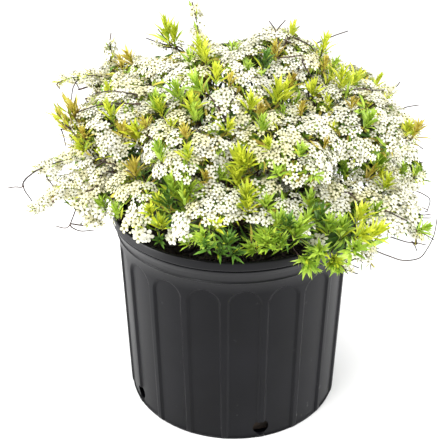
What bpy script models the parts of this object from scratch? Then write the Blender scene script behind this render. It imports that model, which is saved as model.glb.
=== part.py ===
"""A flowering spirea shrub in a fluted black nursery pot, built from the pot upwards.

The pot is a turned shell with nineteen recessed arched panels and five drain holes. A plug of
potting mix fills it. A short root crown sits on the mix, and one arching stem rises from it to
each mass of blossom and leaves. The masses stand in tiers, skirt, drape, shoulder and crest,
and are parted from each other by flat planes where they would meet. Two upright sprays rise
from the crest. Metres, +Z up, origin at the centre of the pot's underside, front towards -Y.
Headings are degrees counter-clockwise from +X, seen from above.
"""

import math

import bmesh
import bpy
from mathutils import Matrix, Vector, noise

FIT_GAP = 0.0003  # clearance between pieces that touch

# Pot: a trade 3 gallon nursery pot
POT_HEIGHT = 0.2477
LIP_RADIUS = 0.1422  # widest point, at the foot of the rim band
RIM_RADIUS = 0.1402  # outer edge of the rim's top
RIM_BAND = 0.0090
COLLAR_BAND = 0.0125  # second band, under the rim
COLLAR_RADIUS = 0.1388
COLLAR_DRAFT = 0.0014  # how much narrower a band is at its foot
BAND_ROUND = 0.0008
WALL_TOP_RADIUS = 0.1345
WALL_TOP_HEIGHT = 0.2185
WALL_FOOT_RADIUS = 0.1298
POT_WALL = 0.0030
CORNER_CHAMFER = 0.0040
POT_STEPS = 48

PANEL_COUNT = 19
PANEL_HALF_WIDTH = 0.0176
PANEL_TOP = 0.2080
PANEL_ARCH_RISE = 0.0176
PANEL_DEPTH = 0.0014
PANEL_ARCH_STEPS = 6
PANEL_TURN = 5.3  # degrees from the front to the nearest panel's centre
PANEL_OVERCUT = 0.0100  # how far the panels' cutter stands out past the wall

DRAIN_RIDGES = (0, 4, 8, 11, 15)  # ridges with a hole, counted round from the front one
DRAIN_RADIUS = 0.0094
DRAIN_HEIGHT = 0.0138
DRAIN_TILT = 20.0  # degrees that each hole's axis dips outwards
DRAIN_DEPTH = 0.0160
DRAIN_STEPS = 14

# Potting mix and root crown
MIX_DROP = 0.0220  # from the rim down to the mix
CROWN_FOOT_RADIUS = 0.0300
CROWN_TOP_RADIUS = 0.0210
CROWN_HEIGHT = 0.0150
CROWN_STEPS = 12
CROWN_LEVELS = 3
CROWN_LOBES = ((3, 0.10), (5, 0.06))  # lobes round the crown, and how far each swells it

# Stems
STEM_FOOT_RADIUS = 0.0034
STEM_TIP_RADIUS = 0.0016
STEM_POINTS = 6
STEM_RISE = 0.30  # how steeply a stem leaves the crown, as a share of its span
STEM_BEND_AT = 0.62  # share of the span where it bends over

# Masses of blossom and leaves
MASS_UNEVENNESS = 0.16
MASS_LUMPS = 2.3  # lumps along a mass's half length
MASS_TAPER = 0.30  # how much narrower a mass is at its tip than at its inner end
MASS_FINENESS = 3
MASS_SHORT_EDGE = 0.0060  # shorter edges left by the parting cuts are closed up
SPRAY_FINENESS = 2
SPRAY_LEAN = 0.12  # how far a spray's foot leans in to the axis

SKIRT = "skirt"
DRAPE = "drape"
SHOULDER = "shoulder"
CREST = "crest"

# For each tier: reach and height of the inner ends, half width, half thickness, ring of stem feet
TIERS = {
    SKIRT: (0.078, 0.312, 0.054, 0.036, 0.0180),
    DRAPE: (0.086, 0.312, 0.052, 0.029, 0.0180),
    SHOULDER: (0.046, 0.358, 0.055, 0.041, 0.0115),
    CREST: (0.004, 0.392, 0.060, 0.044, 0.0045),
}

# For each mass: tier, heading of its tip, and the tip's reach from the axis and height
MASSES = {
    "left": (SKIRT, 169, 0.236, 0.268),
    "left_low": (SKIRT, 197, 0.232, 0.266),
    "front_left": (SKIRT, 231, 0.178, 0.286),
    "front": (SKIRT, 260, 0.178, 0.284),
    "front_right": (SKIRT, 287, 0.176, 0.276),
    "right_low": (DRAPE, 313, 0.196, 0.242),
    "right_droop": (DRAPE, 337, 0.234, 0.242),
    "right": (SKIRT, 5, 0.236, 0.268),
    "back_right": (SKIRT, 42, 0.226, 0.272),
    "back": (SKIRT, 84, 0.218, 0.266),
    "back_left": (SKIRT, 128, 0.224, 0.272),
    "left_high": (SHOULDER, 163, 0.210, 0.360),
    "left_front": (SHOULDER, 201, 0.192, 0.352),
    "front_centre": (SHOULDER, 247, 0.160, 0.344),
    "front_side": (SHOULDER, 296, 0.168, 0.342),
    "right_mid": (SHOULDER, 344, 0.212, 0.342),
    "right_high": (SHOULDER, 24, 0.200, 0.350),
    "back_side": (SHOULDER, 72, 0.172, 0.348),
    "back_centre": (SHOULDER, 117, 0.176, 0.350),
    "left_top": (CREST, 170, 0.128, 0.386),
    "front_top": (CREST, 262, 0.112, 0.390),
    "right_top": (CREST, 356, 0.106, 0.414),
    "back_top": (CREST, 82, 0.118, 0.364),
}

# Upright sprays on the crest: tip, radius and length, and the mass that each rises from
SPRAYS = {
    "spray_top": ((-0.044, 0.000, 0.476), 0.0125, 0.072, "left_top"),
    "spray_top_left": ((-0.070, 0.012, 0.459), 0.0140, 0.062, "left_top"),
}

MIX_HEIGHT = POT_HEIGHT - MIX_DROP
BAND_FOOT = POT_HEIGHT - RIM_BAND
COLLAR_FOOT = BAND_FOOT - COLLAR_BAND
CROWN_FOOT = MIX_HEIGHT + FIT_GAP

# Base colour and roughness of each finish
COLOURS = {
    "pot": ((0.022, 0.022, 0.025), 0.45),
    "mix": ((0.035, 0.022, 0.014), 0.95),
    "bark": ((0.120, 0.070, 0.045), 0.85),
    "blossom": ((0.780, 0.800, 0.620), 0.80),
}


def material(name):
    """A plain surface of the named colour and roughness."""
    colour, roughness = COLOURS[name]
    made = bpy.data.materials.new(name)
    made.use_nodes = True
    shader = made.node_tree.nodes["Principled BSDF"]
    shader.inputs["Base Color"].default_value = (*colour, 1.0)
    shader.inputs["Roughness"].default_value = roughness
    shader.inputs["Metallic"].default_value = 0.0
    return made


def collection(name):
    made = bpy.data.collections.new(name)
    bpy.context.scene.collection.children.link(made)
    return made


for leftover in list(bpy.data.objects):
    bpy.data.objects.remove(leftover)
SHRUB = collection("spirea_shrub")
CUTTERS = collection("cutters")
MATERIALS = {name: material(name) for name in COLOURS}


def piece(name, mesh, material_name):
    """A named object of the shrub with its material."""
    obj = bpy.data.objects.new(name, mesh)
    SHRUB.objects.link(obj)
    mesh.materials.append(MATERIALS[material_name])
    return obj


def cutter(name, mesh):
    """A helper that cuts other pieces and isn't one itself."""
    obj = bpy.data.objects.new(name, mesh)
    CUTTERS.objects.link(obj)
    obj.hide_render = True
    obj.display_type = "WIRE"
    return obj


def mesh_from(name, bm):
    """The bmesh as a mesh with its faces pointing out."""
    bmesh.ops.recalc_face_normals(bm, faces=bm.faces)
    mesh = bpy.data.meshes.new(name)
    bm.to_mesh(mesh)
    bm.free()
    return mesh


def boolean(obj, operation, other):
    modifier = obj.modifiers.new(operation.lower(), "BOOLEAN")
    modifier.operation = operation
    modifier.solver = "EXACT"
    modifier.object = other


def on_heading(heading, reach, height):
    """The point at that heading, distance from the axis and height."""
    angle = math.radians(heading)
    return Vector((reach * math.cos(angle), reach * math.sin(angle), height))


def profile_mesh(name, profile):
    """A line through (radius, height) points in the plane y = 0, for turning."""
    bm = bmesh.new()
    points = [bm.verts.new((radius, 0.0, height)) for radius, height in profile]
    for first, second in zip(points, points[1:]):
        bm.edges.new((first, second))
    mesh = bpy.data.meshes.new(name)
    bm.to_mesh(mesh)
    bm.free()
    return mesh


def turn(obj):
    """Turns the object's profile once round Z."""
    screw = obj.modifiers.new("turn", "SCREW")
    screw.axis = "Z"
    screw.angle = math.tau
    screw.steps = POT_STEPS
    screw.render_steps = POT_STEPS
    screw.use_merge_vertices = True
    screw.merge_threshold = 0.00001
    screw.use_smooth_shade = True


def wall_radius(height):
    """Outer radius of the pot's fluted wall at a height."""
    share = height / WALL_TOP_HEIGHT
    return WALL_FOOT_RADIUS + share * (WALL_TOP_RADIUS - WALL_FOOT_RADIUS)


def outer_profile():
    """The pot's outside from the rim down to the underside's centre."""
    return [
        (RIM_RADIUS, POT_HEIGHT),
        (LIP_RADIUS, BAND_FOOT + BAND_ROUND),
        (LIP_RADIUS - BAND_ROUND, BAND_FOOT),
        (COLLAR_RADIUS, BAND_FOOT - BAND_ROUND),
        (COLLAR_RADIUS - COLLAR_DRAFT, COLLAR_FOOT),
        (COLLAR_RADIUS - 2 * COLLAR_DRAFT, COLLAR_FOOT - BAND_ROUND),
        (WALL_TOP_RADIUS, WALL_TOP_HEIGHT),
        (wall_radius(CORNER_CHAMFER), CORNER_CHAMFER),
        (WALL_FOOT_RADIUS - CORNER_CHAMFER / 2, 0.0),
        (0.0, 0.0),
    ]


def inner_profile():
    """The pot's inside from the floor's centre up to the rim."""
    return [
        (0.0, POT_WALL),
        (wall_radius(POT_WALL) - POT_WALL, POT_WALL),
        (WALL_TOP_RADIUS - POT_WALL, WALL_TOP_HEIGHT),
        (COLLAR_RADIUS - COLLAR_DRAFT - POT_WALL, COLLAR_FOOT),
        (RIM_RADIUS - POT_WALL, POT_HEIGHT),
    ]


def panel_cutter():
    """One mesh of arched recesses: a ring that follows the wall, crossed with arched blocks."""
    bottom = -PANEL_OVERCUT
    top = PANEL_TOP + FIT_GAP
    ring = [
        (wall_radius(top) + PANEL_OVERCUT, top),
        (wall_radius(bottom) + PANEL_OVERCUT, bottom),
        (wall_radius(bottom) - PANEL_DEPTH, bottom),
        (wall_radius(top) - PANEL_DEPTH, top),
    ]
    band = cutter("panel_ring", profile_mesh("panel_ring", [*ring, ring[0]]))
    turn(band)

    block_foot = bottom - PANEL_OVERCUT
    block_back = wall_radius(bottom) - PANEL_OVERCUT
    spring = PANEL_TOP - PANEL_ARCH_RISE
    outline = [(-PANEL_HALF_WIDTH, block_foot)]
    for step in range(PANEL_ARCH_STEPS + 1):
        angle = math.pi * (1 - step / PANEL_ARCH_STEPS)
        outline.append(
            (PANEL_HALF_WIDTH * math.cos(angle), spring + PANEL_ARCH_RISE * math.sin(angle))
        )
    outline.append((PANEL_HALF_WIDTH, block_foot))
    blocks = bmesh.new()
    for number in range(PANEL_COUNT):
        turned = math.radians(PANEL_TURN) + number * math.tau / PANEL_COUNT
        spin = Matrix.Rotation(turned, 3, "Z")
        back = [blocks.verts.new(spin @ Vector((x, -block_back, z))) for x, z in outline]
        grown = bmesh.ops.extrude_face_region(blocks, geom=[blocks.faces.new(back)])["geom"]
        front = [item for item in grown if isinstance(item, bmesh.types.BMVert)]
        bmesh.ops.translate(blocks, verts=front, vec=spin @ Vector((0, -4 * PANEL_OVERCUT, 0)))
    boolean(band, "INTERSECT", cutter("panel_arches", mesh_from("panel_arches", blocks)))
    return band


def drain_cutter():
    """Short bars that cut the drain holes through the ridges, just above the foot."""
    bm = bmesh.new()
    for ridge in DRAIN_RIDGES:
        heading = 270 + PANEL_TURN + (ridge + 0.5) * 360 / PANEL_COUNT
        place = (
            Matrix.Translation(on_heading(heading, WALL_FOOT_RADIUS, DRAIN_HEIGHT))
            @ Matrix.Rotation(math.radians(heading), 4, "Z")
            @ Matrix.Rotation(math.radians(90 + DRAIN_TILT), 4, "Y")
        )
        bmesh.ops.create_cone(
            bm,
            cap_ends=True,
            segments=DRAIN_STEPS,
            radius1=DRAIN_RADIUS,
            radius2=DRAIN_RADIUS,
            depth=DRAIN_DEPTH,
            matrix=place,
        )
    return cutter("drain_holes", mesh_from("drain_holes", bm))


def build_pot():
    profile = outer_profile() + inner_profile()
    pot = piece("pot", profile_mesh("pot", [*profile, profile[0]]), "pot")
    turn(pot)
    boolean(pot, "DIFFERENCE", panel_cutter())
    boolean(pot, "DIFFERENCE", drain_cutter())


def build_mix():
    """The plug of potting mix, level on top, a hair inside the pot's wall."""
    inset = POT_WALL + 2 * FIT_GAP
    foot = POT_WALL + FIT_GAP
    profile = [
        (0.0, MIX_HEIGHT),
        (WALL_TOP_RADIUS - inset, MIX_HEIGHT),
        (WALL_TOP_RADIUS - inset, WALL_TOP_HEIGHT),
        (wall_radius(foot) - inset, foot),
        (0.0, foot),
    ]
    turn(piece("potting_mix", profile_mesh("potting_mix", profile), "mix"))


def build_root_crown():
    """The woody, lobed foot that all stems spring from, cut flat where it sits on the mix."""
    bm = bmesh.new()
    bmesh.ops.create_cone(
        bm,
        cap_ends=True,
        segments=CROWN_STEPS,
        radius1=CROWN_TOP_RADIUS,
        radius2=CROWN_TOP_RADIUS,
        depth=CROWN_HEIGHT,
        matrix=Matrix.Translation((0, 0, CROWN_FOOT + CROWN_HEIGHT / 2)),
    )
    for level in range(1, CROWN_LEVELS):
        height = CROWN_FOOT + CROWN_HEIGHT * level / CROWN_LEVELS
        geometry = [*bm.verts, *bm.edges, *bm.faces]
        bmesh.ops.bisect_plane(bm, geom=geometry, plane_co=(0, 0, height), plane_no=(0, 0, 1))
    for vert in bm.verts:
        share = (vert.co.z - CROWN_FOOT) / CROWN_HEIGHT
        angle = math.atan2(vert.co.y, vert.co.x)
        flare = CROWN_TOP_RADIUS + (CROWN_FOOT_RADIUS - CROWN_TOP_RADIUS) * (1 - share) ** 2
        swell = 1 + sum(amount * math.sin(lobes * angle) for lobes, amount in CROWN_LOBES)
        vert.co.xy = (flare * swell * math.cos(angle), flare * swell * math.sin(angle))
    return piece("root_crown", mesh_from("root_crown", bm), "bark")


class Lump:
    """The place and size of one mass before it is parted from its neighbours."""

    def __init__(self, inner_end, tip, half_width, half_thickness, seed):
        self.centre = (inner_end + tip) / 2
        along = (tip - inner_end).normalized()
        side = Vector((0, 1, 0)) if abs(along.z) > 0.9 else Vector((0, 0, 1)).cross(along)
        side.normalize()
        self.axes = (along, side, along.cross(side).normalized())
        self.sizes = ((tip - inner_end).length / 2, half_width, half_thickness)
        self.offset = Vector((3.7, 1.9, 5.3)) * seed

    def mesh(self, fineness):
        """An uneven egg, widest near its inner end and narrower towards its tip."""
        bm = bmesh.new()
        bmesh.ops.create_icosphere(bm, subdivisions=fineness, radius=1.0)
        for vert in bm.verts:
            unit = vert.co.copy()
            uneven = 1 + MASS_UNEVENNESS * noise.noise(unit * MASS_LUMPS + self.offset)
            swell = uneven * (1 - MASS_TAPER * unit.x)
            along, side, out = self.axes
            length, width, thickness = self.sizes
            vert.co = (
                self.centre
                + along * unit.x * length
                + side * unit.y * width * swell
                + out * unit.z * thickness * swell
            )
        return bm

    def half_extent(self, direction):
        """How far the mass reaches from its centre along a direction."""
        return math.hypot(
            *(axis.dot(direction) * size for axis, size in zip(self.axes, self.sizes))
        )


def part_by_plane(bm, point, outward):
    """Cuts off what lies beyond a plane and closes the cut."""
    geometry = [*bm.verts, *bm.edges, *bm.faces]
    bmesh.ops.bisect_plane(
        bm, geom=geometry, plane_co=point, plane_no=outward, clear_outer=True, dist=1e-6
    )
    open_edges = [edge for edge in bm.edges if edge.is_boundary]
    bmesh.ops.holes_fill(bm, edges=open_edges, sides=0)


def build_masses():
    """All masses of the tiers, each cut back by a gap from every plane it shares."""
    lumps = {}
    for number, (name, (tier, heading, reach, height)) in enumerate(MASSES.items()):
        inner_reach, inner_height, half_width, half_thickness, _ = TIERS[tier]
        inner_end = on_heading(heading, inner_reach, inner_height)
        tip = on_heading(heading, reach, height)
        lumps[name] = Lump(inner_end, tip, half_width, half_thickness, number)
    pot_space = bmesh.new()
    bmesh.ops.create_cone(
        pot_space,
        cap_ends=True,
        segments=POT_STEPS,
        radius1=LIP_RADIUS + 2 * FIT_GAP,
        radius2=LIP_RADIUS + 2 * FIT_GAP,
        depth=POT_HEIGHT,
        matrix=Matrix.Translation((0, 0, POT_HEIGHT / 2 + FIT_GAP)),
    )
    pot_cutter = cutter("pot_space", mesh_from("pot_space", pot_space))
    made = {}
    for name, lump in lumps.items():
        bm = lump.mesh(MASS_FINENESS)
        for other_name, other in lumps.items():
            between = other.centre - lump.centre
            direction = between.normalized()
            own = lump.half_extent(direction)
            total = own + other.half_extent(direction)
            if other_name == name or total * (1 + MASS_UNEVENNESS) < between.length:
                continue
            plane = lump.centre + direction * (between.length * own / total - FIT_GAP)
            part_by_plane(bm, plane, direction)
        bmesh.ops.triangulate(bm, faces=bm.faces)
        bmesh.ops.dissolve_degenerate(bm, dist=MASS_SHORT_EDGE, edges=bm.edges)
        made[name] = piece(f"mass_{name}", mesh_from(f"mass_{name}", bm), "blossom")
        if MASSES[name][0] == DRAPE:
            boolean(made[name], "DIFFERENCE", pot_cutter)
    return lumps, made


def grown_copy(name, solid):
    """A cutter: a solid's shape moved out along its normals by the fit gap."""
    mesh = solid.data.copy()
    mesh.name = name
    moved = [vert.co + vert.normal * FIT_GAP for vert in mesh.vertices]
    for vert, place in zip(mesh.vertices, moved):
        vert.co = place
    return cutter(name, mesh)


def limb(name, points, foot_radius, tip_radius):
    """A round tapering limb along a smooth line, as one closed mesh."""
    curve = bpy.data.curves.new(name, "CURVE")
    curve.dimensions = "3D"
    curve.bevel_depth = 1.0
    curve.bevel_resolution = 1
    curve.use_fill_caps = True
    spline = curve.splines.new("POLY")
    spline.points.add(len(points) - 1)
    for number, (point, place) in enumerate(zip(spline.points, points)):
        share = number / (len(points) - 1)
        point.co = (*place, 1.0)
        point.radius = foot_radius + (tip_radius - foot_radius) * share
    guide = bpy.data.objects.new(f"{name}_line", curve)
    CUTTERS.objects.link(guide)
    bpy.context.view_layer.update()
    graph = bpy.context.evaluated_depsgraph_get()
    tube = bpy.data.meshes.new_from_object(guide.evaluated_get(graph))
    bpy.data.objects.remove(guide)
    bm = bmesh.new()
    bm.from_mesh(tube)
    bpy.data.meshes.remove(tube)
    bmesh.ops.remove_doubles(bm, verts=bm.verts, dist=0.00001)
    return piece(name, mesh_from(name, bm), "bark")


def arch(foot, tip):
    """Points of a curve that leaves its foot upwards and bends over towards its tip."""
    rise = Vector((0, 0, STEM_RISE * (tip - foot).length))
    first = foot + rise
    second = foot.lerp(tip, STEM_BEND_AT) + rise / 3
    points = []
    for number in range(STEM_POINTS):
        t = number / (STEM_POINTS - 1)
        points.append(
            foot * (1 - t) ** 3
            + first * 3 * t * (1 - t) ** 2
            + second * 3 * t * t * (1 - t)
            + tip * t**3
        )
    return points


def build_stems(lumps, masses, root_crown):
    """One stem for each mass, trimmed by the root crown at its foot and by the mass at its end."""
    crown_cutter = grown_copy("crown_cutter", root_crown)
    for name, (tier, heading, _, _) in MASSES.items():
        foot = on_heading(heading, TIERS[tier][4], CROWN_FOOT + CROWN_HEIGHT / 2)
        line = arch(foot, lumps[name].centre)
        stem = limb(f"stem_{name}", line, STEM_FOOT_RADIUS, STEM_TIP_RADIUS)
        boolean(stem, "DIFFERENCE", crown_cutter)
        boolean(stem, "DIFFERENCE", grown_copy(f"{name}_cutter", masses[name]))


def build_sprays(masses):
    """Slim upright masses that stand on the crest, trimmed where they meet it."""
    for number, (name, (tip, radius, length, carrier)) in enumerate(SPRAYS.items()):
        tip = Vector(tip)
        foot = tip - Vector((tip.x * SPRAY_LEAN, tip.y * SPRAY_LEAN, length))
        lump = Lump(foot, tip, radius, radius, len(MASSES) + number)
        bm = lump.mesh(SPRAY_FINENESS)
        spray = piece(name, mesh_from(name, bm), "blossom")
        boolean(spray, "DIFFERENCE", grown_copy(f"{name}_seat", masses[carrier]))


build_pot()
build_mix()
CROWN = build_root_crown()
LUMPS, MASS_PIECES = build_masses()
build_stems(LUMPS, MASS_PIECES, CROWN)
build_sprays(MASS_PIECES)
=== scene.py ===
"""A spirea shrub in full flower in its black nursery pot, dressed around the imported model."""

import itertools
import math

import bmesh
import bpy
import numpy as np
from mathutils import Matrix, Vector, noise
from mathutils.bvhtree import BVHTree
from mathutils.kdtree import KDTree


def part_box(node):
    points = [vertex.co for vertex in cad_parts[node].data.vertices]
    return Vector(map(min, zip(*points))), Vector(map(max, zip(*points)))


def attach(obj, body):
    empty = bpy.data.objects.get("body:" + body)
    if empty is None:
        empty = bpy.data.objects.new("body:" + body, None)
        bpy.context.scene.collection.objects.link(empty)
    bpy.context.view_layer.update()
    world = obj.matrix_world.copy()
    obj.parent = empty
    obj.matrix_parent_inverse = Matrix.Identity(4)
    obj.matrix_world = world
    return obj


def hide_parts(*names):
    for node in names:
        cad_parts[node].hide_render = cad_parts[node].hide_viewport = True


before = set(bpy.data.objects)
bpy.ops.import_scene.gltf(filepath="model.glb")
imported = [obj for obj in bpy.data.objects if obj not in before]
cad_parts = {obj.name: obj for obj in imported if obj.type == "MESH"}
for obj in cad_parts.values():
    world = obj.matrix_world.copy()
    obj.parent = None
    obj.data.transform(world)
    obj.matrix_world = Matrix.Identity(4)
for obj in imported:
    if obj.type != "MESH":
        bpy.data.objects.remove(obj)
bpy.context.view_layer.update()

# The camera stands in front of the shrub and looks down on it, as the photographer did. The
# photograph's pixels name places on the crown further down, through a ray from this camera.
CAMERA_BACK = 0.8705
CAMERA_UP = 0.7031
LOOK_DOWN = math.radians(29.114)
LOOK_LEFT = math.radians(1.059)
CAMERA_ROLL = math.radians(-0.191)
FOCAL_PIXELS = 850
PHOTO_WIDTH = 440
PHOTO_HEIGHT = 443
SENSOR_SIZE = 36.0

camera_turn = (
    Matrix.Rotation(LOOK_LEFT, 3, "Z")
    @ Matrix.Rotation(math.pi / 2 - LOOK_DOWN, 3, "X")
    @ Matrix.Rotation(CAMERA_ROLL, 3, "Z")
)
camera_place = Vector((0.0, -CAMERA_BACK, CAMERA_UP))
bpy.ops.object.camera_add(location=camera_place, rotation=camera_turn.to_euler())
camera = bpy.context.object
camera.name = "camera"
camera.data.sensor_width = SENSOR_SIZE
camera.data.lens = SENSOR_SIZE * FOCAL_PIXELS / PHOTO_HEIGHT
bpy.context.scene.camera = camera


def pixel_ray(x, y):
    """The unit direction from the camera through a pixel of the photograph."""
    across = (x - PHOTO_WIDTH / 2) / FOCAL_PIXELS
    down = (y - PHOTO_HEIGHT / 2) / FOCAL_PIXELS
    return (camera_turn @ Vector((across, -down, -1.0))).normalized()


def pixels_of(points):
    """The photograph's pixels where points of the shrub fall."""
    local = (np.asarray(points) - np.array(camera_place)) @ np.array(camera_turn)
    across = PHOTO_WIDTH / 2 - FOCAL_PIXELS * local[:, 0] / local[:, 2]
    down = PHOTO_HEIGHT / 2 + FOCAL_PIXELS * local[:, 1] / local[:, 2]
    return np.stack([across, down], axis=1)


# The pot is moulded black polyethylene: a rim band, a groove and a flared collar under it, and
# nineteen arched flutes pressed into the wall down to the foot. It is drawn up ring by ring from
# the foot to the rim and down the inside, the flutes are pressed in, and the drain holes are cut.
POT_COLUMNS = 836
POT_WALL = 0.0030
RIM_RADIUS = 0.1402
RIM_BAND = 0.0090
WALL_TOP_RADIUS = 0.1345
WALL_TOP_HEIGHT = 0.2185
WALL_FOOT_RADIUS = 0.1298
FOOT_EASING = 0.0040
FOOT_CURVE_TOP = 0.010
BAND_EASING = 0.0006
FLUTES = 19
FLUTE_TURN = math.radians(5.3)
FLUTE_HALF_WIDTH = 0.0176
FLUTE_TOP = 0.2080
FLUTE_ARCH = 0.0176
FLUTE_DEPTH = 0.0025
FLUTE_EDGE = 0.0030
COLLAR_PROFILE = (
    (0.0002, 0.0200), (0.0020, 0.0190), (0.0023, 0.0178), (0.0009, 0.0168), (0.0032, 0.0090),
    (0.0066, 0.0026), (0.0062, 0.0016), (0.0050, 0.0013), (0.0050, 0.0002),
)
PLAIN_ROWS, ARCH_ROWS = 14, 20
PLAIN_ROWS_FROM = 0.012
DRAIN_RADIUS = 0.0094
DRAIN_DEPTH = 0.020
DRAIN_HEIGHT = 0.0138
DRAIN_RIDGES = (0, 4, 8, 11, 15)
DRAIN_TILT = math.radians(20)

pot_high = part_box("pot")[1]
rim_height = pot_high.z
lip_radius = pot_high.x
band_foot = rim_height - RIM_BAND


def wall_radius(height):
    """The outer radius of the fluted wall at a height."""
    share = height / WALL_TOP_HEIGHT
    return WALL_FOOT_RADIUS + share * (WALL_TOP_RADIUS - WALL_FOOT_RADIUS)


def eased(profile, reach):
    """The profile with every corner between its ends turned into a short curve."""
    points = [Vector(profile[0])]
    for before, corner, after in zip(profile, profile[1:], profile[2:]):
        corner = Vector(corner)
        back, on = Vector(before) - corner, Vector(after) - corner
        start = corner + back.normalized() * min(reach, back.length * 0.45)
        end = corner + on.normalized() * min(reach, on.length * 0.45)
        for t in (0.0, 0.33, 0.67, 1.0):
            points.append(start * (1 - t) ** 2 + corner * 2 * t * (1 - t) + end * t * t)
    points.append(Vector(profile[-1]))
    return points


arch_foot = FLUTE_TOP - FLUTE_ARCH
plain_heights = np.linspace(PLAIN_ROWS_FROM, arch_foot - 0.004, PLAIN_ROWS)
arch_heights = np.linspace(arch_foot - 0.0028, FLUTE_TOP + 0.0036, ARCH_ROWS)
wall_rows = [(wall_radius(z), z) for z in (*plain_heights, *arch_heights)]
foot_rows = eased(
    [
        (WALL_FOOT_RADIUS - FOOT_EASING, 0.0),
        (WALL_FOOT_RADIUS - 0.0002, 0.0),
        (wall_radius(FOOT_CURVE_TOP), FOOT_CURVE_TOP),
    ],
    FOOT_EASING,
)
band_rows = eased(
    [
        (WALL_TOP_RADIUS - 0.0001, WALL_TOP_HEIGHT - 0.0040),
        *((WALL_TOP_RADIUS + out, band_foot - down) for out, down in COLLAR_PROFILE),
        (lip_radius - 0.0004, band_foot + 0.0002),
        (lip_radius, band_foot + 0.0012),
        (RIM_RADIUS + 0.0001, rim_height - 0.0010),
        (RIM_RADIUS - 0.0009, rim_height),
        (RIM_RADIUS - POT_WALL, rim_height),
        (WALL_TOP_RADIUS - POT_WALL, WALL_TOP_HEIGHT),
        (WALL_FOOT_RADIUS - POT_WALL, POT_WALL),
        (WALL_FOOT_RADIUS - 4 * POT_WALL, POT_WALL),
    ],
    BAND_EASING,
)
pot_rows = [*foot_rows, *wall_rows, *band_rows]

bpy.ops.object.select_all(action="DESELECT")
bpy.ops.mesh.primitive_circle_add(
    vertices=POT_COLUMNS, radius=pot_rows[0][0], location=(0, 0, pot_rows[0][1])
)
pot_shell = bpy.context.object
pot_shell.name = "pot_shell"
bpy.ops.object.transform_apply(location=True, rotation=False, scale=False)
bpy.ops.object.mode_set(mode="EDIT")
for (was_wide, was_high), (wide, high) in zip(pot_rows, pot_rows[1:]):
    bpy.ops.mesh.extrude_region_move(
        TRANSFORM_OT_translate={"value": (0, 0, high - was_high)}
    )
    swell = wide / was_wide
    bpy.ops.transform.resize(value=(swell, swell, 1), center_override=(0, 0, 0))
bpy.ops.mesh.edge_face_add()
bpy.ops.mesh.select_all(action="DESELECT")
bpy.ops.mesh.select_non_manifold()
bpy.ops.mesh.edge_face_add()
bpy.ops.mesh.select_all(action="SELECT")
bpy.ops.mesh.normals_make_consistent(inside=False)
bpy.ops.object.mode_set(mode="OBJECT")


def choose(item):
    """Selects one object alone, and makes it the active one."""
    bpy.ops.object.select_all(action="DESELECT")
    item.select_set(True)
    bpy.context.view_layer.objects.active = item


def apply_modifier(item, kind, **settings):
    """Puts a modifier on an object, sets it up and applies it."""
    modifier = item.modifiers.new(kind.lower(), kind)
    for setting, value in settings.items():
        setattr(modifier, setting, value)
    choose(item)
    bpy.ops.object.modifier_apply(modifier=modifier.name)


def places_of(mesh):
    """The mesh's vertices as an array."""
    flat = np.empty(len(mesh.vertices) * 3)
    mesh.vertices.foreach_get("co", flat)
    return flat.reshape(-1, 3)


def faces_of(mesh):
    return [list(face.vertices) for face in mesh.polygons]


def smooth_step(share):
    share = np.clip(share, 0.0, 1.0)
    return share * share * (3 - 2 * share)


spots = places_of(pot_shell.data)
reach = np.hypot(spots[:, 0], spots[:, 1])
pitch = math.tau / FLUTES
heading = np.arctan2(spots[:, 0], -spots[:, 1])
across = ((heading - FLUTE_TURN + pitch / 2) % pitch - pitch / 2) * reach
rise = np.maximum(spots[:, 2] - arch_foot, 0.0)
outline = np.hypot(across / FLUTE_HALF_WIDTH, rise / FLUTE_ARCH)
beyond = (outline - 1) * FLUTE_HALF_WIDTH
outside = reach > wall_radius(spots[:, 2]) - POT_WALL / 2
below = spots[:, 2] < FLUTE_TOP + FLUTE_EDGE
press = FLUTE_DEPTH * smooth_step(0.5 - beyond / FLUTE_EDGE) * (outside & below)
press *= smooth_step(spots[:, 2] / 0.002)
spots[:, :2] *= ((reach - press) / np.maximum(reach, 1e-6))[:, None]
pot_shell.data.vertices.foreach_set("co", spots.ravel())
pot_shell.data.update()

for ridge in DRAIN_RIDGES:
    turned = FLUTE_TURN - math.pi / 2 + (ridge + 0.5) * pitch
    drilled = (WALL_FOOT_RADIUS * math.cos(turned), WALL_FOOT_RADIUS * math.sin(turned))
    bpy.ops.mesh.primitive_cylinder_add(
        vertices=28,
        radius=DRAIN_RADIUS,
        depth=DRAIN_DEPTH,
        location=(*drilled, DRAIN_HEIGHT),
        rotation=(0, math.pi / 2 + DRAIN_TILT, turned),
    )
    drill = bpy.context.object
    apply_modifier(pot_shell, "BOOLEAN", operation="DIFFERENCE", object=drill)
    bpy.data.objects.remove(drill)
choose(pot_shell)
bpy.ops.object.shade_smooth_by_angle(angle=math.radians(32))


def fill(material, node, inputs):
    """Sets each of a node's inputs to a value, or links it to the output of another node."""
    for name, value in inputs.items():
        if isinstance(value, bpy.types.NodeSocket):
            material.node_tree.links.new(value, node.inputs[name])
        else:
            node.inputs[name].default_value = value


def shade(material, inputs):
    fill(material, material.node_tree.nodes["Principled BSDF"], inputs)


def add_node(material, kind, output, inputs, **settings):
    """An output of a new node, once the node's settings and inputs are filled in."""
    node = material.node_tree.nodes.new("ShaderNode" + kind)
    for setting, value in settings.items():
        setattr(node, setting, value)
    fill(material, node, inputs)
    return node.outputs[output]


def new_material(name):
    """A material with a plain shader, and the coordinates that its textures lie on."""
    made = bpy.data.materials.new(name)
    made.use_nodes = True
    return made, add_node(made, "TexCoord", "Object", {})


def cloud(material, where, scale, detail=2.0):
    inputs = {"Scale": scale, "Detail": detail, "Vector": where}
    return add_node(material, "TexNoise", "Fac", inputs)


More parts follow.
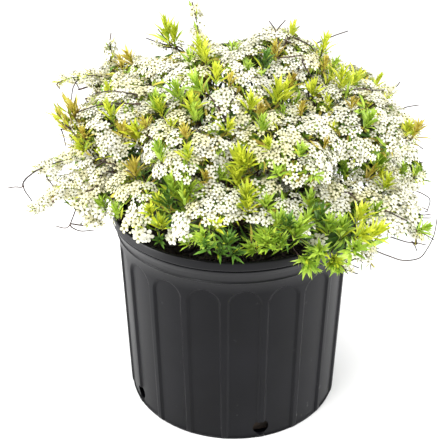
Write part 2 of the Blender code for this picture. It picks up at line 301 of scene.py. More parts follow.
def ramp(material, value, ends, deep, pale):
    """A colour that goes from deep to pale as a value goes from one end to the other."""
    color = add_node(material, "ValToRGB", "Color", {"Fac": value})
    for stop, position, tone in zip(color.node.color_ramp.elements, ends, (deep, pale)):
        stop.position = position
        stop.color = (*tone, 1)
    return color


def relief(material, height, strength, distance):
    inputs = {"Strength": strength, "Distance": distance, "Height": height}
    return add_node(material, "Bump", "Normal", inputs)


def carried(material, value, start, end, low=0.0, high=1.0):
    """A value carried from the range between start and end to the one from low to high."""
    inputs = {"Value": value, "From Min": start, "From Max": end, "To Min": low, "To Max": high}
    return add_node(material, "MapRange", "Result", inputs)


def finished(piece, material, slot, *nodes):
    """Gives a piece its material, its body and the nodes that it stands for; slot is not used."""
    piece.data.materials.append(material)
    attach(piece, "root")
    if nodes:
        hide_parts(*nodes)


pot_plastic, where = new_material("black_polyethylene")
film = cloud(pot_plastic, where, 14.0, 6.0)
tone = ramp(pot_plastic, film, (0.35, 0.72), (0.0018, 0.0018, 0.0028), (0.0044, 0.0044, 0.0062))
height = add_node(pot_plastic, "SeparateXYZ", "Z", {"Vector": where})
scuffs = carried(pot_plastic, cloud(pot_plastic, where, 95.0, 4.0), 0.70, 0.80)
near_foot = carried(pot_plastic, height, 0.055, 0.005, 0.15)
grazed = add_node(pot_plastic, "Math", "Value", {0: scuffs, 1: near_foot}, operation="MULTIPLY")
mixed = {"Factor": grazed, "A": tone, "B": (0.16, 0.16, 0.16, 1)}
shade(
    pot_plastic,
    {
        "Base Color": add_node(pot_plastic, "Mix", "Result", mixed, data_type="RGBA"),
        "Roughness": carried(pot_plastic, film, 0.0, 1.0, 0.33, 0.46),
        "Specular IOR Level": carried(pot_plastic, height, 0.205, 0.215, 0.14, 0.27),
        "Normal": relief(pot_plastic, cloud(pot_plastic, where, 700.0), 0.08, 0.0004),
    },
)
finished(pot_shell, pot_plastic, "pot", "pot")

# The potting mix is damp composted bark, level but rough on top, and it fills the pot to a
# little below the rim. A drum of it is inset ring by ring on top, and the rings are roughened.
MIX_SIDES = 120
MIX_INSETS = 26
MIX_ROUGHNESS = 0.0030
MIX_FOOT_SLACK = 0.0080

mix_low, mix_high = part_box("potting_mix")
mix_radius = mix_high.x
mix_foot_radius = WALL_FOOT_RADIUS - POT_WALL - MIX_FOOT_SLACK
bpy.ops.object.select_all(action="DESELECT")
bpy.ops.mesh.primitive_cylinder_add(
    vertices=MIX_SIDES,
    radius=mix_foot_radius,
    depth=mix_high.z - mix_low.z,
    location=(0, 0, (mix_low.z + mix_high.z) / 2),
)
mix_plug = bpy.context.object
mix_plug.name = "mix_plug"
bpy.ops.object.transform_apply(location=True, rotation=False, scale=False)
bpy.ops.object.mode_set(mode="EDIT")
bpy.ops.mesh.select_all(action="DESELECT")
bpy.ops.object.mode_set(mode="OBJECT")
for face in mix_plug.data.polygons:
    face.select = face.normal.z > 0.9
bpy.ops.object.mode_set(mode="EDIT")
top_swell = mix_radius / mix_foot_radius
bpy.ops.transform.resize(value=(top_swell, top_swell, 1), center_override=(0, 0, mix_high.z))
for _ in range(MIX_INSETS):
    bpy.ops.mesh.inset(thickness=mix_radius / (MIX_INSETS + 1), depth=0)
bpy.ops.object.mode_set(mode="OBJECT")
for vert in mix_plug.data.vertices:
    if vert.co.z > mix_high.z - 0.001 and vert.co.xy.length < mix_radius - 0.001:
        rough = noise.noise(vert.co * 130) + 0.6 * noise.noise(vert.co * 310)
        vert.co.z += MIX_ROUGHNESS * (rough - 0.5)


def mottled(name, roughness, scale, ends, deep, pale, detail=2.0, shine=0.5, bump=None):
    """A material whose colour, and its relief if it has any, follow soft noise."""
    made, where = new_material(name)
    patches = cloud(made, where, scale, detail)
    shade(made, {"Roughness": roughness, "Specular IOR Level": shine})
    shade(made, {"Base Color": ramp(made, patches, ends, deep, pale)})
    if bump:
        shade(made, {"Normal": relief(made, patches, *bump)})
    return made


mix_bark = mottled(
    "composted_bark", 0.92, 160.0, (0.35, 0.70), (0.006, 0.004, 0.003), (0.038, 0.025, 0.016),
    detail=8.0, bump=(0.6, 0.0015),
)
finished(mix_plug, mix_bark, "mix", "potting_mix")

# Loose bark chips lie on top of the mix. One chip is a bevelled block knocked out of square,
# and many turned and resized copies of it are scattered and joined.
CHIPS = 1500
CHIP_SEED = 11
CHIP_SHAPE = (1.0, 0.55, 0.22)
CHIP_TUMBLE = (0.35, 0.35, 0.1)
SHORTEST_CHIP, CHIP_GROWTH = 0.004, 0.008

bpy.ops.object.select_all(action="DESELECT")
bpy.ops.mesh.primitive_cube_add(size=1.0)
chip_block = bpy.context.object
bpy.ops.object.mode_set(mode="EDIT")
bpy.ops.transform.resize(value=CHIP_SHAPE)
bpy.ops.mesh.bevel(offset=0.06, segments=1)
bpy.ops.mesh.vertices_smooth(factor=0.3)
bpy.ops.mesh.quads_convert_to_tris()
bpy.ops.object.mode_set(mode="OBJECT")


def arrays_of(shape):
    """The points and faces of a small object, which is then taken away."""
    points = places_of(shape.data)
    faces = np.array(faces_of(shape.data))
    bpy.data.objects.remove(shape)
    return points, faces


chip_points, chip_faces = arrays_of(chip_block)


def row_lengths(rows):
    return np.linalg.norm(rows, axis=1, keepdims=True)


def frames_along(axes, spins):
    """For each axis, three square directions with the axis as the third, spun round it."""
    axes = axes / row_lengths(axes)
    helper = np.where(np.abs(axes[:, 2:3]) > 0.9, [[1.0, 0.0, 0.0]], [[0.0, 0.0, 1.0]])
    first = np.cross(helper, axes)
    first /= row_lengths(first)
    second = np.cross(axes, first)
    cos, sin = np.cos(spins)[:, None], np.sin(spins)[:, None]
    return np.stack([cos * first + sin * second, cos * second - sin * first, axes], axis=2)


def mesh_object(name, points, faces):
    """A mesh object at the origin from arrays of points and of three-cornered faces."""
    mesh = bpy.data.meshes.new(name)
    mesh.vertices.add(len(points))
    mesh.vertices.foreach_set("co", np.ascontiguousarray(points, dtype=np.float32).ravel())
    mesh.loops.add(len(faces) * 3)
    mesh.loops.foreach_set("vertex_index", np.ascontiguousarray(faces, dtype=np.int32).ravel())
    mesh.polygons.add(len(faces))
    mesh.polygons.foreach_set("loop_start", np.arange(len(faces), dtype=np.int32) * 3)
    mesh.update(calc_edges=True)
    mesh.validate()
    made = bpy.data.objects.new(name, mesh)
    bpy.context.scene.collection.objects.link(made)
    return made


def scattered(name, points, faces, frames, places, sizes):
    """One mesh of many copies of a small shape, each turned, sized and placed."""
    sizes = np.asarray(sizes, dtype=float)
    if sizes.ndim == 1:
        sizes = np.repeat(sizes[:, None], 3, axis=1)
    local = points[None, :, :] * sizes[:, None, :]
    spread = np.einsum("nij,nkj->nki", frames, local) + np.asarray(places)[:, None, :]
    steps = np.arange(len(spread))[:, None, None] * len(points)
    return mesh_object(name, spread.reshape(-1, 3), (faces[None] + steps).reshape(-1, 3))


chance = np.random.default_rng(CHIP_SEED)
chip_reach = (mix_radius - 0.006) * np.sqrt(chance.random(CHIPS))
chip_heading = chance.random(CHIPS) * math.tau
chip_heights = mix_high.z - 0.001 + chance.random(CHIPS) * 0.0025
chip_places = np.stack(
    [chip_reach * np.cos(chip_heading), chip_reach * np.sin(chip_heading), chip_heights], axis=1
)
chip_axes = chance.normal(size=(CHIPS, 3)) * CHIP_TUMBLE + [0, 0, 1]
chip_sizes = (SHORTEST_CHIP + CHIP_GROWTH * chance.random(CHIPS) ** 2)[:, None] * (
    0.7 + 0.6 * chance.random((CHIPS, 3))
)
chip_frames = frames_along(chip_axes, chance.random(CHIPS) * math.tau)
bark_chips = scattered(
    "bark_chips", chip_points, chip_faces, chip_frames, chip_places, chip_sizes
)
finished(bark_chips, mix_bark, "mix")

# The root crown is the crowded woody base of the clump, knobbly and covered in thin flaking
# bark. It is the CAD solid, refined and roughened along the grain.
CROWN_BARK_RELIEF = 0.0011

crown_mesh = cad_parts["root_crown"].data.copy()
root_crown = bpy.data.objects.new("woody_base", crown_mesh)
bpy.context.scene.collection.objects.link(root_crown)
crown_mesh.materials.clear()
choose(root_crown)
bpy.ops.object.mode_set(mode="EDIT")
bpy.ops.mesh.select_all(action="SELECT")
bpy.ops.mesh.remove_doubles(threshold=0.00001)
bpy.ops.mesh.tris_convert_to_quads()
bpy.ops.object.mode_set(mode="OBJECT")
apply_modifier(root_crown, "SUBSURF", levels=3, render_levels=3)
for vert in crown_mesh.vertices:
    grain_at = Vector((vert.co.x * 260, vert.co.y * 260, vert.co.z * 60))
    knob_at = vert.co * 70
    lift = CROWN_BARK_RELIEF * (noise.noise(grain_at) + 1.5 * noise.noise(knob_at))
    vert.co += vert.normal * lift
bpy.ops.object.shade_smooth()
bark = mottled(
    "spirea_bark", 0.78, 220.0, (0.35, 0.70), (0.030, 0.016, 0.011), (0.120, 0.066, 0.040),
    detail=6.0, bump=(0.4, 0.0006),
)
finished(root_crown, bark, "bark", "root_crown")

# Each stem rises from the root crown and arches out into its mass, where it goes on as a bough
# to near the mass's tip. Its line is read off sections of the CAD stem, and the bark has fine
# lengthwise ridges and a swelling at each bud.
STEM_FOOT = 0.0034
BOUGH_END = 0.0010
STEM_SECTIONS = 9
STEM_SIDES = 14
STEM_RELIEF = 0.00035
STEM_SHARES = (0.05, 0.93)
STEM_POINTS = 34
BOUGH_START = 16


def section_centres(node):
    """The middles of evenly spaced sections across a CAD stem, from its foot up."""
    points = places_of(node.data)
    foot_first = points[np.argsort(np.linalg.norm(points - [0, 0, mix_high.z], axis=1))]
    foot, end = foot_first[:6].mean(0), foot_first[-6:].mean(0)
    chord = end - foot
    centres = []
    for share in np.linspace(*STEM_SHARES, STEM_SECTIONS):
        cut = bmesh.new()
        cut.from_mesh(node.data)
        geometry = [*cut.verts, *cut.edges, *cut.faces]
        found = bmesh.ops.bisect_plane(
            cut, geom=geometry, plane_co=foot + chord * share, plane_no=chord
        )["geom_cut"]
        on_cut = [item.co.copy() for item in found if isinstance(item, bmesh.types.BMVert)]
        cut.free()
        if on_cut:
            centres.append(sum(on_cut, Vector()) / len(on_cut))
    return centres


def curve_through(knots, count):
    """Points on a smooth curve through the knots, evenly shared between them."""
    knots = np.array([np.array(knot) for knot in knots])
    padded = np.vstack([2 * knots[0] - knots[1], knots, 2 * knots[-1] - knots[-2]])
    points = []
    for share in np.linspace(0, len(knots) - 1, count):
        number = min(int(share), len(knots) - 2)
        t = share - number
        a, b, c, d = padded[number : number + 4]
        curve = 2 * b + (c - a) * t + (2 * a - 5 * b + 4 * c - d) * t**2
        points.append(0.5 * (curve + (3 * b - a - 3 * c + d) * t**3))
    return np.array(points)


def unit(vector):
    return vector / max(np.linalg.norm(vector), 1e-9)


def limb_arrays(lines, radii, sides, relief=0.0):
    """Points and faces of round tapering limbs along lines, closed to a point at each end."""
    all_points, all_faces, start = [], [], 0
    turn = np.arange(sides) * math.tau / sides
    for line, (foot, end) in zip(lines, radii):
        line = np.asarray(line)
        count = len(line)
        along = np.gradient(line, axis=0)
        along /= np.maximum(row_lengths(along), 1e-9)
        square = frames_along(along, np.zeros(count))
        for number in range(1, count):
            before = square[number - 1, :, 0]
            square[number, :, 0] = unit(before - along[number] * (before @ along[number]))
            square[number, :, 1] = np.cross(along[number], square[number, :, 0])
        width = np.linspace(foot, end, count)[:, None]
        if relief:
            ridges = np.sin(5 * turn + 0.8)[None, :] + 0.8 * np.sin(9 * turn)[None, :]
            swell = np.sin(np.arange(count) * 1.9)[:, None]
            width = width + relief * (0.5 * ridges + 0.7 * swell) * (width / STEM_FOOT)
        ring = (
            line[:, None, :]
            + square[:, None, :, 0] * (np.cos(turn)[None, :] * width)[:, :, None]
            + square[:, None, :, 1] * (np.sin(turn)[None, :] * width)[:, :, None]
        ).reshape(-1, 3)
        all_points.append(np.vstack([ring, line[:1], line[-1:] + along[-1] * end]))
        around, on = np.arange(sides), (np.arange(sides) + 1) % sides
        level = np.arange(count - 1)[:, None] * sides
        low_a, low_b = level + around[None, :], level + on[None, :]
        high_a, high_b = low_a + sides, low_b + sides
        skin = [
            np.stack(corners, axis=-1).reshape(-1, 3)
            for corners in ((low_a, low_b, high_b), (low_a, high_b, high_a))
        ]
        top = (count - 1) * sides
        foot_cap = np.stack([on, around, np.full(sides, count * sides)], axis=-1)
        end_cap = np.stack([top + around, top + on, np.full(sides, count * sides + 1)], axis=-1)
        all_faces.append(np.concatenate([*skin, foot_cap, end_cap]) + start)
        start += len(all_points[-1])
    return np.concatenate(all_points), np.concatenate(all_faces)


mass_names, spray_names, stem_names = (
    sorted(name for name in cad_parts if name.startswith(kind))
    for kind in ("mass_", "spray_", "stem_")
)

stem_lines = []
boughs = {}
for name in mass_names:
    mass_points = places_of(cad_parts[name].data)
    centres = section_centres(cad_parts[name.replace("mass_", "stem_")])
    below_foot = centres[0] * 2 - centres[1]
    end = centres[-1]
    heading = (centres[-1] - centres[-3]).normalized()
    tip = Vector(mass_points[np.argmax(np.hypot(mass_points[:, 0], mass_points[:, 1]))])
    middle = Vector(mass_points.mean(0))
    span = (tip - end).length
    knee = end + heading * span * 0.30
    shoulder = middle.lerp(tip, 0.25) + Vector((0, 0, 0.006))
    bough_tip = middle.lerp(tip, 0.66)
    knots = [below_foot, *centres[::2], knee, shoulder, bough_tip]
    stem_lines.append(curve_through(knots, STEM_POINTS))
    boughs[name] = stem_lines[-1][BOUGH_START:]

stem_radii = [(STEM_FOOT, BOUGH_END)] * len(stem_lines)
stems = mesh_object(
    "stems_and_boughs", *limb_arrays(stem_lines, stem_radii, STEM_SIDES, STEM_RELIEF)
)
stems.data.shade_smooth()
finished(stems, bark, "bark", *stem_names)

# The crown's outer skin, which isn't shown: the masses and sprays run together into one closed
# form, with the grooves between them softened. Everything that grows is guided by it.
SKIN_VOXEL = 0.0055
SKIN_SMOOTHING = 9

crown_points, crown_faces, start = [], [], 0
mass_trees = {}
for name in (*mass_names, *spray_names):
    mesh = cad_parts[name].data
    mass_points, mass_faces = places_of(mesh), faces_of(mesh)
    mass_trees[name] = BVHTree.FromPolygons(mass_points.tolist(), mass_faces)
    crown_points.append(mass_points)
    crown_faces.append(np.array(mass_faces) + start)
    start += len(mass_points)
skin = mesh_object("crown_skin", np.concatenate(crown_points), np.concatenate(crown_faces))
apply_modifier(skin, "REMESH", mode="VOXEL", voxel_size=SKIN_VOXEL)
apply_modifier(skin, "SMOOTH", factor=0.5, iterations=SKIN_SMOOTHING)
skin.data.calc_loop_triangles()
skin_points = places_of(skin.data)
skin_faces = np.array([list(tri.vertices) for tri in skin.data.loop_triangles])
bpy.data.objects.remove(skin)
skin_tree = BVHTree.FromPolygons(skin_points.tolist(), skin_faces.tolist())


def bezier(a, b, c, d, count):
    """Points on the curve that leaves a towards b and comes into d from c."""
    t = np.linspace(0, 1, count)[:, None]
    return a * (1 - t) ** 3 + b * 3 * t * (1 - t) ** 2 + c * 3 * t * t * (1 - t) + d * t**3


def owner_of(point):
    """The mass that lies nearest to a point."""
    return min(mass_names, key=lambda name: mass_trees[name].find_nearest(point)[3])


def spread_over_skin(spacing, seed, taken=(), tries=16000):
    """Points on the skin, with their outward normals, no nearer to each other than spacing."""
    chance = np.random.default_rng(seed)
    corners = skin_points[skin_faces]
    crossed = np.cross(corners[:, 1] - corners[:, 0], corners[:, 2] - corners[:, 0])
    area = np.linalg.norm(crossed, axis=1)
    picks = chance.choice(len(area), size=tries, p=area / area.sum())
    u, v = np.sqrt(chance.random(tries)), chance.random(tries)
    weights = np.stack([1 - u, u * (1 - v), u * v], axis=1)
    places = (corners[picks] * weights[:, :, None]).sum(1)
    normals = crossed[picks] / area[picks][:, None]
    grid = {}
    for place in taken:
        grid.setdefault(tuple(int(value // spacing) for value in place), []).append(place)
    found = []
    for place, normal in zip(places, normals):
        cell = tuple(int(value // spacing) for value in place)
        near = [
            other
            for step in itertools.product((-1, 0, 1), repeat=3)
            for other in grid.get(tuple(a + b for a, b in zip(cell, step)), ())
        ]
        if any(((place - other) ** 2).sum() < spacing**2 for other in near):
            continue
        grid.setdefault(cell, []).append(place)
        found.append((place, normal))
    return found


def place_by_pixel(x, y):
    """The place on the crown under a pixel, and its outward normal; off the crown, the point of
    the ray that passes nearest to it."""
    ray = pixel_ray(x, y)
    hit, normal, _, _ = skin_tree.ray_cast(camera_place, ray)
    if hit is not None:
        return np.array(hit), np.array(normal)
    closest = min(
        (camera_place + ray * reach for reach in np.linspace(0.6, 1.3, 141)),
        key=lambda point: skin_tree.find_nearest(point)[3],
    )
    _, normal, _, _ = skin_tree.find_nearest(closest)
    return np.array(closest), np.array(normal)


# The crown's edge in the photograph, by the x and y of one pixel after another: blossom and
# leaves grow up to it, and what stands out past it is the wands, shoots and bare twigs further
# down.
CROWN_OUTLINE = (
    112, 226, 104, 223, 96, 230, 88, 223, 80, 214, 74, 206, 76, 196, 82, 188, 88, 180, 90, 172,
    84, 166, 76, 160, 74, 152, 76, 145, 70, 138, 64, 130, 62, 120, 66, 112, 72, 108, 80, 110,
    88, 108, 94, 104, 98, 98, 100, 92, 104, 86, 106, 80, 104, 74, 108, 70, 116, 66, 122, 60,
    130, 56, 140, 57, 152, 58, 165, 57, 176, 54, 186, 52, 190, 47, 194, 42, 200, 38, 206, 40,
    212, 42, 222, 43, 234, 41, 242, 41, 250, 37, 256, 32, 262, 28, 268, 26, 275, 28, 282, 28,
    290, 30, 297, 33, 303, 38, 310, 42, 318, 44, 326, 44, 331, 50, 334, 57, 340, 60, 350, 65,
    360, 67, 370, 72, 374, 80, 380, 86, 386, 90, 392, 94, 396, 100, 402, 106, 406, 112, 412, 118,
    418, 124, 420, 132, 418, 140, 414, 146, 418, 152, 422, 160, 422, 168, 425, 176, 424, 184,
    418, 190, 416, 198, 420, 206, 424, 214, 420, 222, 412, 228, 404, 232, 394, 234, 386, 238,
    380, 246, 372, 250, 362, 252, 352, 256, 346, 266, 340, 271, 332, 271, 322, 268, 312, 263,
    302, 260, 294, 254, 286, 251, 278, 257, 266, 263, 258, 263, 240, 262, 226, 264, 210, 261,
    196, 259, 184, 257, 170, 253, 156, 252, 144, 248, 134, 244, 126, 237, 118, 231,
)
SKY_SEEN = (
    (52, 184, 5), (44, 180, 5), (38, 187, 7), (64, 97, 7), (72, 94, 5), (84, 88, 5), (60, 104, 4),
)


def within_crown(points):
    """Which points fall inside the crown's edge in the photograph, and off its gaps of sky."""
    spots = pixels_of(points)
    corners = np.array(CROWN_OUTLINE, dtype=float).reshape(-1, 2)
    following = np.roll(corners, -1, axis=0)
    x, y = spots[:, :1], spots[:, 1:]
    crossed = (corners[:, 1] > y) != (following[:, 1] > y)
    rise = following[:, 1] - corners[:, 1]
    rise[rise == 0] = 1e-9
    edge = corners[:, 0] + (y - corners[:, 1]) * (following[:, 0] - corners[:, 0]) / rise
    inside = ((x < edge) & crossed).sum(1) % 2 == 1
    for sky_x, sky_y, radius in SKY_SEEN:
        inside &= np.hypot(spots[:, 0] - sky_x, spots[:, 1] - sky_y) > radius
    return inside


# Leafy shoots and low clusters of blossom that the photograph shows, by the pixel of each one's
# foot and its size in millimetres. Young shoots are chartreuse or bronze, and older ones green.
SHOOTS_SEEN = (
    ("chartreuse", (170, 46, 34), (175, 47, 28), (203, 62, 30), (207, 66, 22), (216, 86, 26),
     (193, 114, 26), (141, 145, 34)),
    ("bronze", (137, 138, 18)),
    ("chartreuse", (163, 118, 22), (112, 122, 26), (289, 40, 22), (321, 56, 26), (341, 92, 32),
     (275, 106, 32), (282, 104, 26), (312, 99, 26), (248, 112, 26), (374, 90, 22), (243, 172, 34),
     (250, 170, 28), (236, 190, 30), (244, 206, 30), (247, 214, 24), (355, 226, 30),
     (365, 240, 34), (352, 240, 30)),
    ("spring_green", (332, 258, 20)),
    ("chartreuse", (162, 230, 24), (189, 162, 22), (226, 134, 22), (270, 152, 20), (382, 192, 24)),
    ("spring_green", (88, 158, 26)),
    ("chartreuse", (84, 152, 22), (160, 208, 20), (152, 216, 22)),
    ("spring_green", (182, 104, 30), (204, 94, 28), (156, 114, 26), (196, 124, 22)),
    ("deep_green", (263, 70, 24)),
    ("spring_green", (261, 136, 24), (364, 130, 28), (162, 164, 28), (176, 200, 34),
     (186, 208, 30)),
    ("deep_green", (170, 210, 28)),
    ("spring_green", (190, 196, 26), (266, 212, 26), (308, 212, 28), (347, 178, 30),
     (374, 174, 32), (380, 168, 24), (293, 240, 34), (300, 232, 28), (308, 248, 34)),
    ("deep_green", (284, 234, 28), (226, 248, 28)),
    ("spring_green", (264, 246, 26), (268, 244, 26), (416, 232, 24), (106, 212, 26),
     (120, 220, 22), (204, 244, 24), (322, 250, 28), (338, 260, 22), (276, 230, 26),
     (340, 240, 32), (328, 236, 30), (350, 252, 30), (372, 218, 24), (312, 256, 20)),
    ("deep_green", (318, 226, 30)),
    ("bronze", (124, 72, 22), (134, 66, 24), (187, 142, 20), (276, 62, 24), (287, 90, 22),
     (411, 140, 28)),
    ("chartreuse", (406, 138, 22)),
    ("bronze", (136, 180, 26), (258, 120, 20), (150, 132, 20), (122, 138, 24)),
    ("spring_green", (330, 74, 22)),
    ("bronze", (322, 72, 20), (352, 112, 18), (230, 88, 18)),
    ("deep_green", (208, 250, 22), (218, 254, 22), (230, 254, 24)),
    ("spring_green", (258, 252, 24), (268, 248, 24), (280, 248, 24), (298, 254, 26)),
    ("chartreuse", (332, 256, 20)),
    ("blossom", (142, 234, 7), (144, 216, 7), (182, 236, 8), (172, 238, 5)),
    ("spring_green", (190, 246, 16)),
    ("deep_green", (160, 240, 16)),
    ("blossom", (254, 214, 10), (262, 222, 9), (222, 218, 10), (212, 208, 10), (226, 206, 10),
     (284, 208, 9), (294, 216, 9), (304, 228, 8), (318, 246, 7), (102, 162, 8), (108, 172, 8)),
    ("bronze", (96, 170, 18)),
    ("chartreuse", (104, 158, 18)),
    ("bronze", (76, 120, 20), (86, 140, 20), (300, 118, 18), (204, 182, 18)),
    ("spring_green", (400, 176, 20), (414, 178, 18), (300, 158, 20)),
    ("bronze", (322, 150, 16)),
    ("blossom", (102, 133, 9), (96, 125, 7), (112, 142, 8), (104, 148, 8), (118, 152, 8),
     (126, 120, 7)),
)

shoot_marks = [(x, y, tint, size) for tint, *marks in SHOOTS_SEEN for x, y, size in marks]
seen_shoots = []
for x, y, tint, size in shoot_marks:
    place, normal = place_by_pixel(x, y)
    seen_shoots.append((place, normal, tint, size / 1000))

# Canes spring from each bough, arch out and run on just under the crown's surface to their
# tips. Side twigs leave them for every cluster of blossom and every leafy shoot.
CANE_SPACING = 0.027
CANE_SEED = 21
CANE_FORK_ANGLE = math.radians(38)
CANE_POINTS = 13
CANE_RADII = (0.0013, 0.0006)
CANE_DEPTH = 0.008
CANE_WOBBLE = 0.0006
CANE_LOWEST = -0.55

chance = np.random.default_rng(CANE_SEED)
cane_lines = []
for place, normal in spread_over_skin(CANE_SPACING, CANE_SEED):
    if normal[2] < CANE_LOWEST:
        continue
    bough = boughs[owner_of(place)]
    tangents = np.gradient(bough, axis=0)
    tangents /= row_lengths(tangents)
    toward = place - bough
    distance = np.linalg.norm(toward, axis=1)
    angle = np.arccos(np.clip((toward * tangents).sum(1) / np.maximum(distance, 1e-6), -1, 1))
    fork = int(np.argmin(np.abs(angle - CANE_FORK_ANGLE) + 4 * distance))
    foot = bough[fork]
    span = np.linalg.norm(place - foot)
    end = place - normal * CANE_DEPTH * 0.6
    along_skin = unit((place - foot) - normal * ((place - foot) @ normal))
    near_end = end - along_skin * span * 0.42 - normal * CANE_DEPTH
    cane = bezier(foot, foot + tangents[fork] * span * 0.34, near_end, end, CANE_POINTS)
    cane += np.cumsum(chance.normal(scale=CANE_WOBBLE, size=cane.shape), axis=0)
    if within_crown(end[None])[0]:
        cane_lines.append(cane)


def wood_tree(lines):
    """A search tree over the points of some branches, and the way that each point runs."""
    places = np.concatenate(lines)
    tree = KDTree(len(places))
    for number, place in enumerate(places):
        tree.insert(place, number)
    tree.balance()
    return tree, np.concatenate([np.gradient(line, axis=0) for line in lines])


cane_tree, cane_ways = wood_tree([line[2:] for line in cane_lines] + list(boughs.values()))

# Wands and bare twigs that stand out in the photograph, by the pixels of each from its foot to
# its tip. Before them is how far behind the pot's axis each copy of it lies, in millimetres, and
# one with none lies on the crown. The wands are grouped by what they bear.
WANDS_SEEN = (
    ("blossom", ((-70, 20), 104, 150, 92, 151, 80, 155, 66, 160, 52, 164, 36, 171),
     ((-75,), 98, 160, 88, 165, 80, 171, 69, 174, 58, 176, 51, 177),
     ((-85, -10), 104, 172, 86, 181, 70, 187, 56, 193, 44, 203, 32, 210),
     ((-80,), 104, 180, 90, 188, 76, 193, 64, 199), ((-85,), 108, 196, 94, 202, 84, 205, 74, 207),
     ((-80,), 104, 162, 90, 171, 78, 178, 70, 181), ((-90,), 106, 206, 98, 213, 91, 219, 87, 225),
     ((10,), 120, 142, 104, 146, 88, 148, 76, 146),
     ((-70,), 108, 168, 96, 176, 82, 184, 66, 190, 56, 192),
     ((-82,), 110, 186, 100, 196, 90, 204, 82, 212),
     ((-84,), 112, 200, 104, 208, 98, 216, 96, 222),
     ((40, 0), 150, 104, 130, 104, 110, 103, 96, 106, 84, 110),
     ((30,), 130, 112, 114, 114, 98, 117, 84, 120), ((60,), 130, 90, 116, 90, 102, 94, 92, 100),
     ((50,), 126, 80, 112, 77, 98, 75, 84, 74), ((10,), 120, 128, 106, 128, 92, 130, 84, 132)),
    ("bronze", ((-70,), 88, 152, 78, 144, 69, 134, 62, 122)),
    ("leafy", ((50, 100), 122, 98, 104, 92, 98, 84, 90, 80, 78, 77, 68, 79, 57, 83),
     ((40,), 128, 86, 112, 80, 98, 76, 86, 75), ((20,), 130, 104, 112, 102, 98, 100, 88, 102)),
    ("bronze", ((-76, -56), 94, 158, 84, 143, 72, 130, 64, 121, 57, 113),
     ((-62, -40), 92, 146, 84, 132, 76, 116, 72, 104),
     ((-66,), 96, 150, 86, 138, 76, 126, 68, 112)),
    ("leafy", ((0,), 76, 132, 68, 130, 60, 129)),
    ("sparse", ((60, 66), 114, 80, 112, 70, 111, 60, 110, 50, 110, 44),
     ((-40,), 206, 58, 202, 46, 199, 35, 197, 24, 195, 14, 193, 6),
     ((-30,), 203, 60, 201, 48, 200, 38, 198, 30)),
    ("leafy", ((10,), 186, 54, 177, 49, 166, 47, 156, 46)),
    ("blossom", ((0,), 378, 208, 386, 213, 395, 218, 405, 222, 414, 225),
     ((-10,), 380, 200, 394, 204, 408, 210, 418, 215),
     ((20,), 360, 124, 369, 120, 379, 117, 389, 113, 394, 111)),
    ("leafy", ((50,), 350, 96, 360, 94, 369, 95, 378, 92, 386, 91, 394, 88),
     ((0,), 396, 174, 406, 176, 416, 178, 424, 180)),
    ("blossom", ((-80,), 350, 243, 362, 244, 372, 246, 379, 249)),
    ("leafy", ((-80,), 346, 250, 352, 254, 358, 258, 363, 263),
     ((-80,), 362, 249, 366, 256, 370, 263, 371, 270),
     ((-30,), 408, 224, 414, 232, 416, 238, 417, 244),
     ((-30,), 410, 226, 420, 232, 428, 236, 434, 240)),
    ("blossom", ((-120,), 338, 262, 342, 266, 345, 270, 348, 274)),
)
